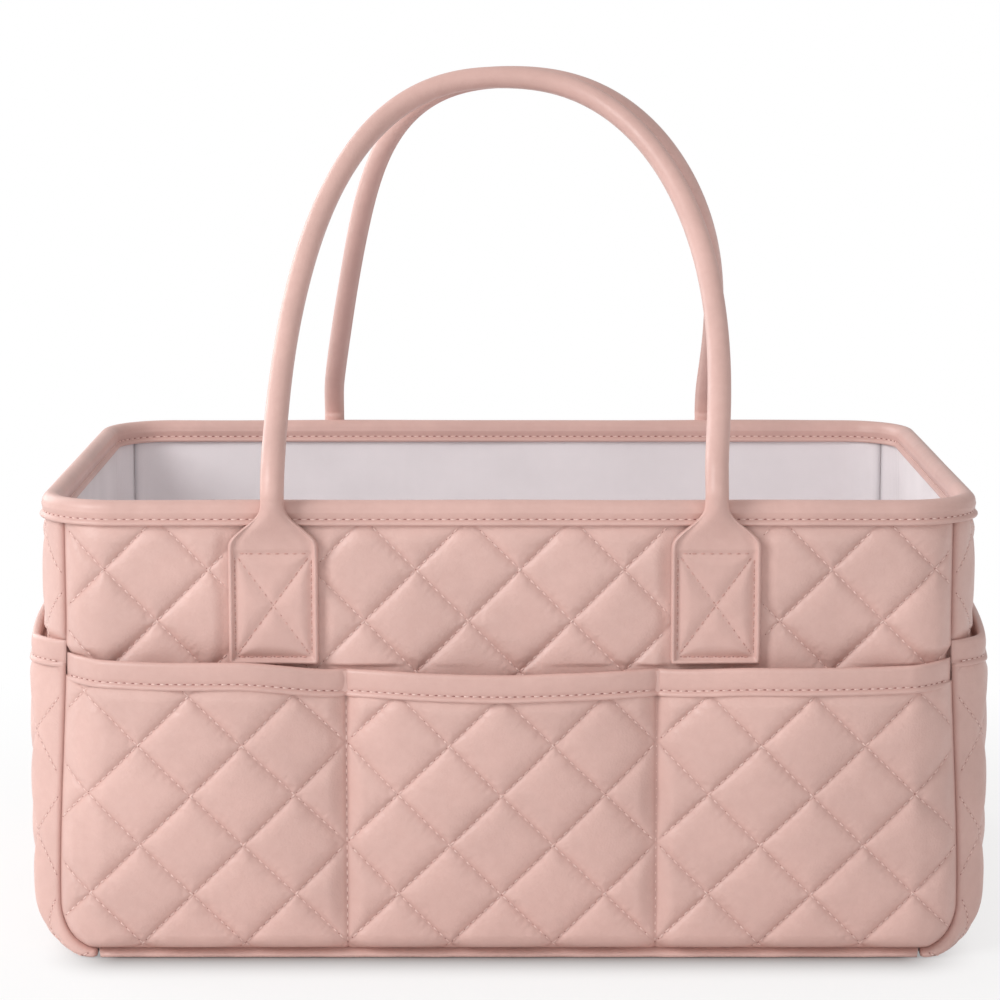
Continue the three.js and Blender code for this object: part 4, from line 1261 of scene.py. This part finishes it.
def leather(name, colour, rough, grain, quilted=False):
    nodes = new_material(name)
    patches = nodes.span(nodes.noise(22), 0.35, 0.65)
    fine = nodes.span(nodes.noise(260, 4), 0.3, 0.7)
    base = nodes.blend(patches, dimmed(colour, 0.955), dimmed(colour, 1.05))
    base = nodes.blend(nodes.math("MULTIPLY", fine, 0.10), base, SPECKLE_AND_CREASE_SHADE)
    # Painted shade: the crease attribute darkens seams, stitch grooves and creases towards deep rose.
    painted_crease_shade = nodes.crease(0.62)
    pebbles = {"Scale": 1150, "Vector": nodes.place}
    pebble = nodes.add("ShaderNodeTexVoronoi", pebbles, feature="SMOOTH_F1").outputs["Distance"]
    normal = nodes.bump(pebble, grain, 0.00016)
    normal = nodes.bump(nodes.noise(2300, 3, 0.6), grain * 0.6, 0.00010, normal)
    normal = nodes.bump(nodes.noise(75), 0.25, 0.0009, normal)
    if quilted:
        # Painted shade along the quilting lines, besides their bumped groove.
        line = nodes.quilt_line(1.1)
        painted_crease_shade = nodes.math("MAXIMUM", painted_crease_shade, nodes.math("MULTIPLY", line, 0.2))
        normal = nodes.bump(nodes.math("SUBTRACT", 1.0, line), 0.4, 0.0004, normal)
    sheen = nodes.span(nodes.noise(90), 0.3, 0.7, rough - 0.05, rough + 0.07)
    return nodes.surface(nodes.blend(painted_crease_shade, base, SPECKLE_AND_CREASE_SHADE), sheen, normal, Specular_IOR_Level=0.48)


def cloth(name, colour, deep):
    nodes = new_material(name)
    wave = {"Scale": 620, "Distortion": 1.2, "Detail Scale": 3, "Vector": nodes.place}
    waves = [
        nodes.add("ShaderNodeTexWave", wave, wave_type="BANDS", bands_direction=axis).outputs["Fac"]
        for axis in ("X", "Z")
    ]
    weave = nodes.math("MULTIPLY", *waves)
    patches = nodes.span(nodes.noise(30), 0.35, 0.65)
    base = nodes.blend(patches, dimmed(colour, 0.95), colour)
    base = nodes.blend(nodes.span(weave, 0, 1, 0, 0.22), base, deep)
    # Painted shade along the lining's seams, towards deep
    base = nodes.blend(nodes.crease(0.6), base, deep)
    normal = nodes.bump(nodes.noise(55), 0.3, 0.0012, nodes.bump(weave, 0.35, 0.00018))
    return nodes.surface(base, 0.88, normal, Specular_IOR_Level=0.25, Sheen_Weight=0.15)


def thread(name, colour, deep, scale=1600):
    nodes = new_material(name)
    strands = nodes.span(nodes.noise(scale), 0.35, 0.65)
    normal = nodes.bump(nodes.noise(scale * 2, 2), 0.3, 0.00006)
    return nodes.surface(nodes.blend(strands, deep, colour), 0.6, normal)


def plain_board(name, colour):
    nodes = new_material(name)
    fibres = nodes.span(nodes.noise(180, 5, 0.7), 0.3, 0.7)
    normal = nodes.bump(nodes.noise(420, 4), 0.3, 0.0002)
    return nodes.surface(nodes.blend(fibres, dimmed(colour, 0.85), colour), 0.9, normal)


QUILTED = leather("quilted_leather", shade(220, 183, 174), 0.43, 0.50, quilted=True)
SMOOTH = leather("smooth_leather", shade(218, 180, 171), 0.40, 0.25)
LINING = cloth("lining_cloth", shade(244, 238, 240), shade(190, 184, 188))
THREAD = thread("pink_thread", shade(244, 217, 209), shade(226, 190, 181))
TAB_THREAD = thread("rose_thread", shade(214, 168, 158), shade(190, 142, 132))
# Painted shade of the needle holes beside the stitches.
HOLE_SHADE = thread("needle_holes", shade(168, 114, 106), shade(142, 90, 84), 900)
BOARD = plain_board("stiff_board", shade(186, 180, 172))
CORD = thread("cotton_cord", shade(236, 232, 224), shade(205, 200, 190), 700)


# Camera first, then the pieces

camera_data = bpy.data.cameras.new("photo_camera")
camera_place = [n * FIT for n in (-0.00346, -1.37878, 0.37429)]
camera = new_object(
    "photo_camera", camera_data, camera_place, sensor_width=36, lens=117.96, clip_start=0.05, clip_end=30
)
camera.rotation_euler = (math.radians(90 - 8.661), 0, 0)
bpy.context.scene.camera = camera

gusset_strip()
for face in ("front", "back"):
    face_panel(face)
    face_pocket(face)
    face_pocket_binding(face)
    face_lining(face)
    handle_leather(face)
for hand, end in ((-1, "left"), (1, "right")):
    end_pocket(end, hand)
    end_pocket_binding(end, hand)
    along = np.concatenate([np.linspace(WALL_TOP, HEEL, 50)[:-1], np.linspace(HEEL, HEEL_END, 16)])
    strip_lining(end, along, hand, 3.0 + hand)
along = np.linspace(HEEL_END - 0.3, MIDDLE, 50)
strip_lining("floor", along, 1, 6.0)
rim_binding()
boards()
add_quilt_sewing()
add_edge_sewing()

for name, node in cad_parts.items():
    node.data.materials.clear()
    node.data.materials.append(CORD if name.endswith("core") else SMOOTH)

# Stage and light


def floor_material():
    """Pale floor, near white for the camera and shaded close to the caddy, where a painted shadow darkens its glow.
    """
    nodes = new_material("pale_floor")
    away = nodes.place
    for operation, value in (("ABSOLUTE", (0, 0, 0)), ("SUBTRACT", (0.155, 0.123, 0)), ("MAXIMUM", (0, 0, 0))):
        away = nodes.add("ShaderNodeVectorMath", {0: away, 1: value}, operation=operation).outputs["Vector"]
    far = nodes.add("ShaderNodeVectorMath", {0: away}, operation="LENGTH").outputs["Value"]
    # Painted shadow: the glow darkens towards the caddy's footprint.
    near = nodes.math("POWER", nodes.span(far, 0, 0.036, 1, 0), 2)
    colour = nodes.blend(near, (1, 1, 1), (0.04, 0.02, 0.015))
    glow_with_painted_shadow = nodes.add("ShaderNodeEmission", {"Color": colour, "Strength": 1.0}).outputs[0]
    diffuse = nodes.add("ShaderNodeBsdfDiffuse", {"Color": (0.86, 0.85, 0.85, 1)}).outputs[0]
    path = nodes.add("ShaderNodeLightPath").outputs
    seen = nodes.math("MAXIMUM", path["Is Camera Ray"], path["Is Glossy Ray"])
    share = nodes.math("MULTIPLY", seen, nodes.span(far, 0, 0.30, 0.70, 1.0))
    both = nodes.add("ShaderNodeMixShader", {0: share, 1: diffuse, 2: glow_with_painted_shadow}).outputs[0]
    nodes.tree.nodes.remove(nodes.tree.nodes["Principled BSDF"])
    nodes.put(nodes.tree.nodes["Material Output"], {"Surface": both})
    return nodes.owner


floor_mesh = bpy.data.meshes.new("pale_floor")
floor_mesh.from_pydata([(-6, -6, 0), (6, -6, 0), (6, 6, 0), (-6, 6, 0)], [], [(0, 1, 2, 3)])
floor_mesh.materials.append(floor_material())
floor = new_object("pale_floor", floor_mesh, (0, 0, -0.0002))

world = bpy.data.worlds.new("studio")
bpy.context.scene.world = world
sky = Nodes(world)
sky.tree.nodes.clear()
ambient, white = (
    sky.add("ShaderNodeBackground", {"Color": colour, "Strength": strength}).outputs[0]
    for colour, strength in (((1.0, 0.985, 0.98, 1), 0.56), ((1, 1, 1, 1), 1.0))
)
rays = sky.add("ShaderNodeLightPath").outputs
seen = sky.math("MAXIMUM", rays["Is Camera Ray"], rays["Is Transmission Ray"])
pick = sky.add("ShaderNodeMixShader", {0: seen, 1: ambient, 2: white}).outputs[0]
sky.add("ShaderNodeOutputWorld", {"Surface": pick})


def area_light(name, place, target, size, power):
    light = new_object(name, bpy.data.lights.new(name, "AREA"), place, shape="SQUARE", size=size, energy=power)
    aim = Vector(target) - Vector(place)
    light.rotation_euler = aim.to_track_quat("-Z", "Y").to_euler()


area_light("key_left", (-1.25, -0.95, 1.05), (-0.05, 0, 0.12), 0.8, 16.5)
area_light("rim_left", (-1.1, 0.9, 0.7), (-0.1, 0, 0.15), 1.0, 9)
area_light("front_fill", (0.5, -2.2, 1.0), (0, 0, 0.1), 1.4, 4)

bpy.context.scene.view_settings.view_transform = "Standard"
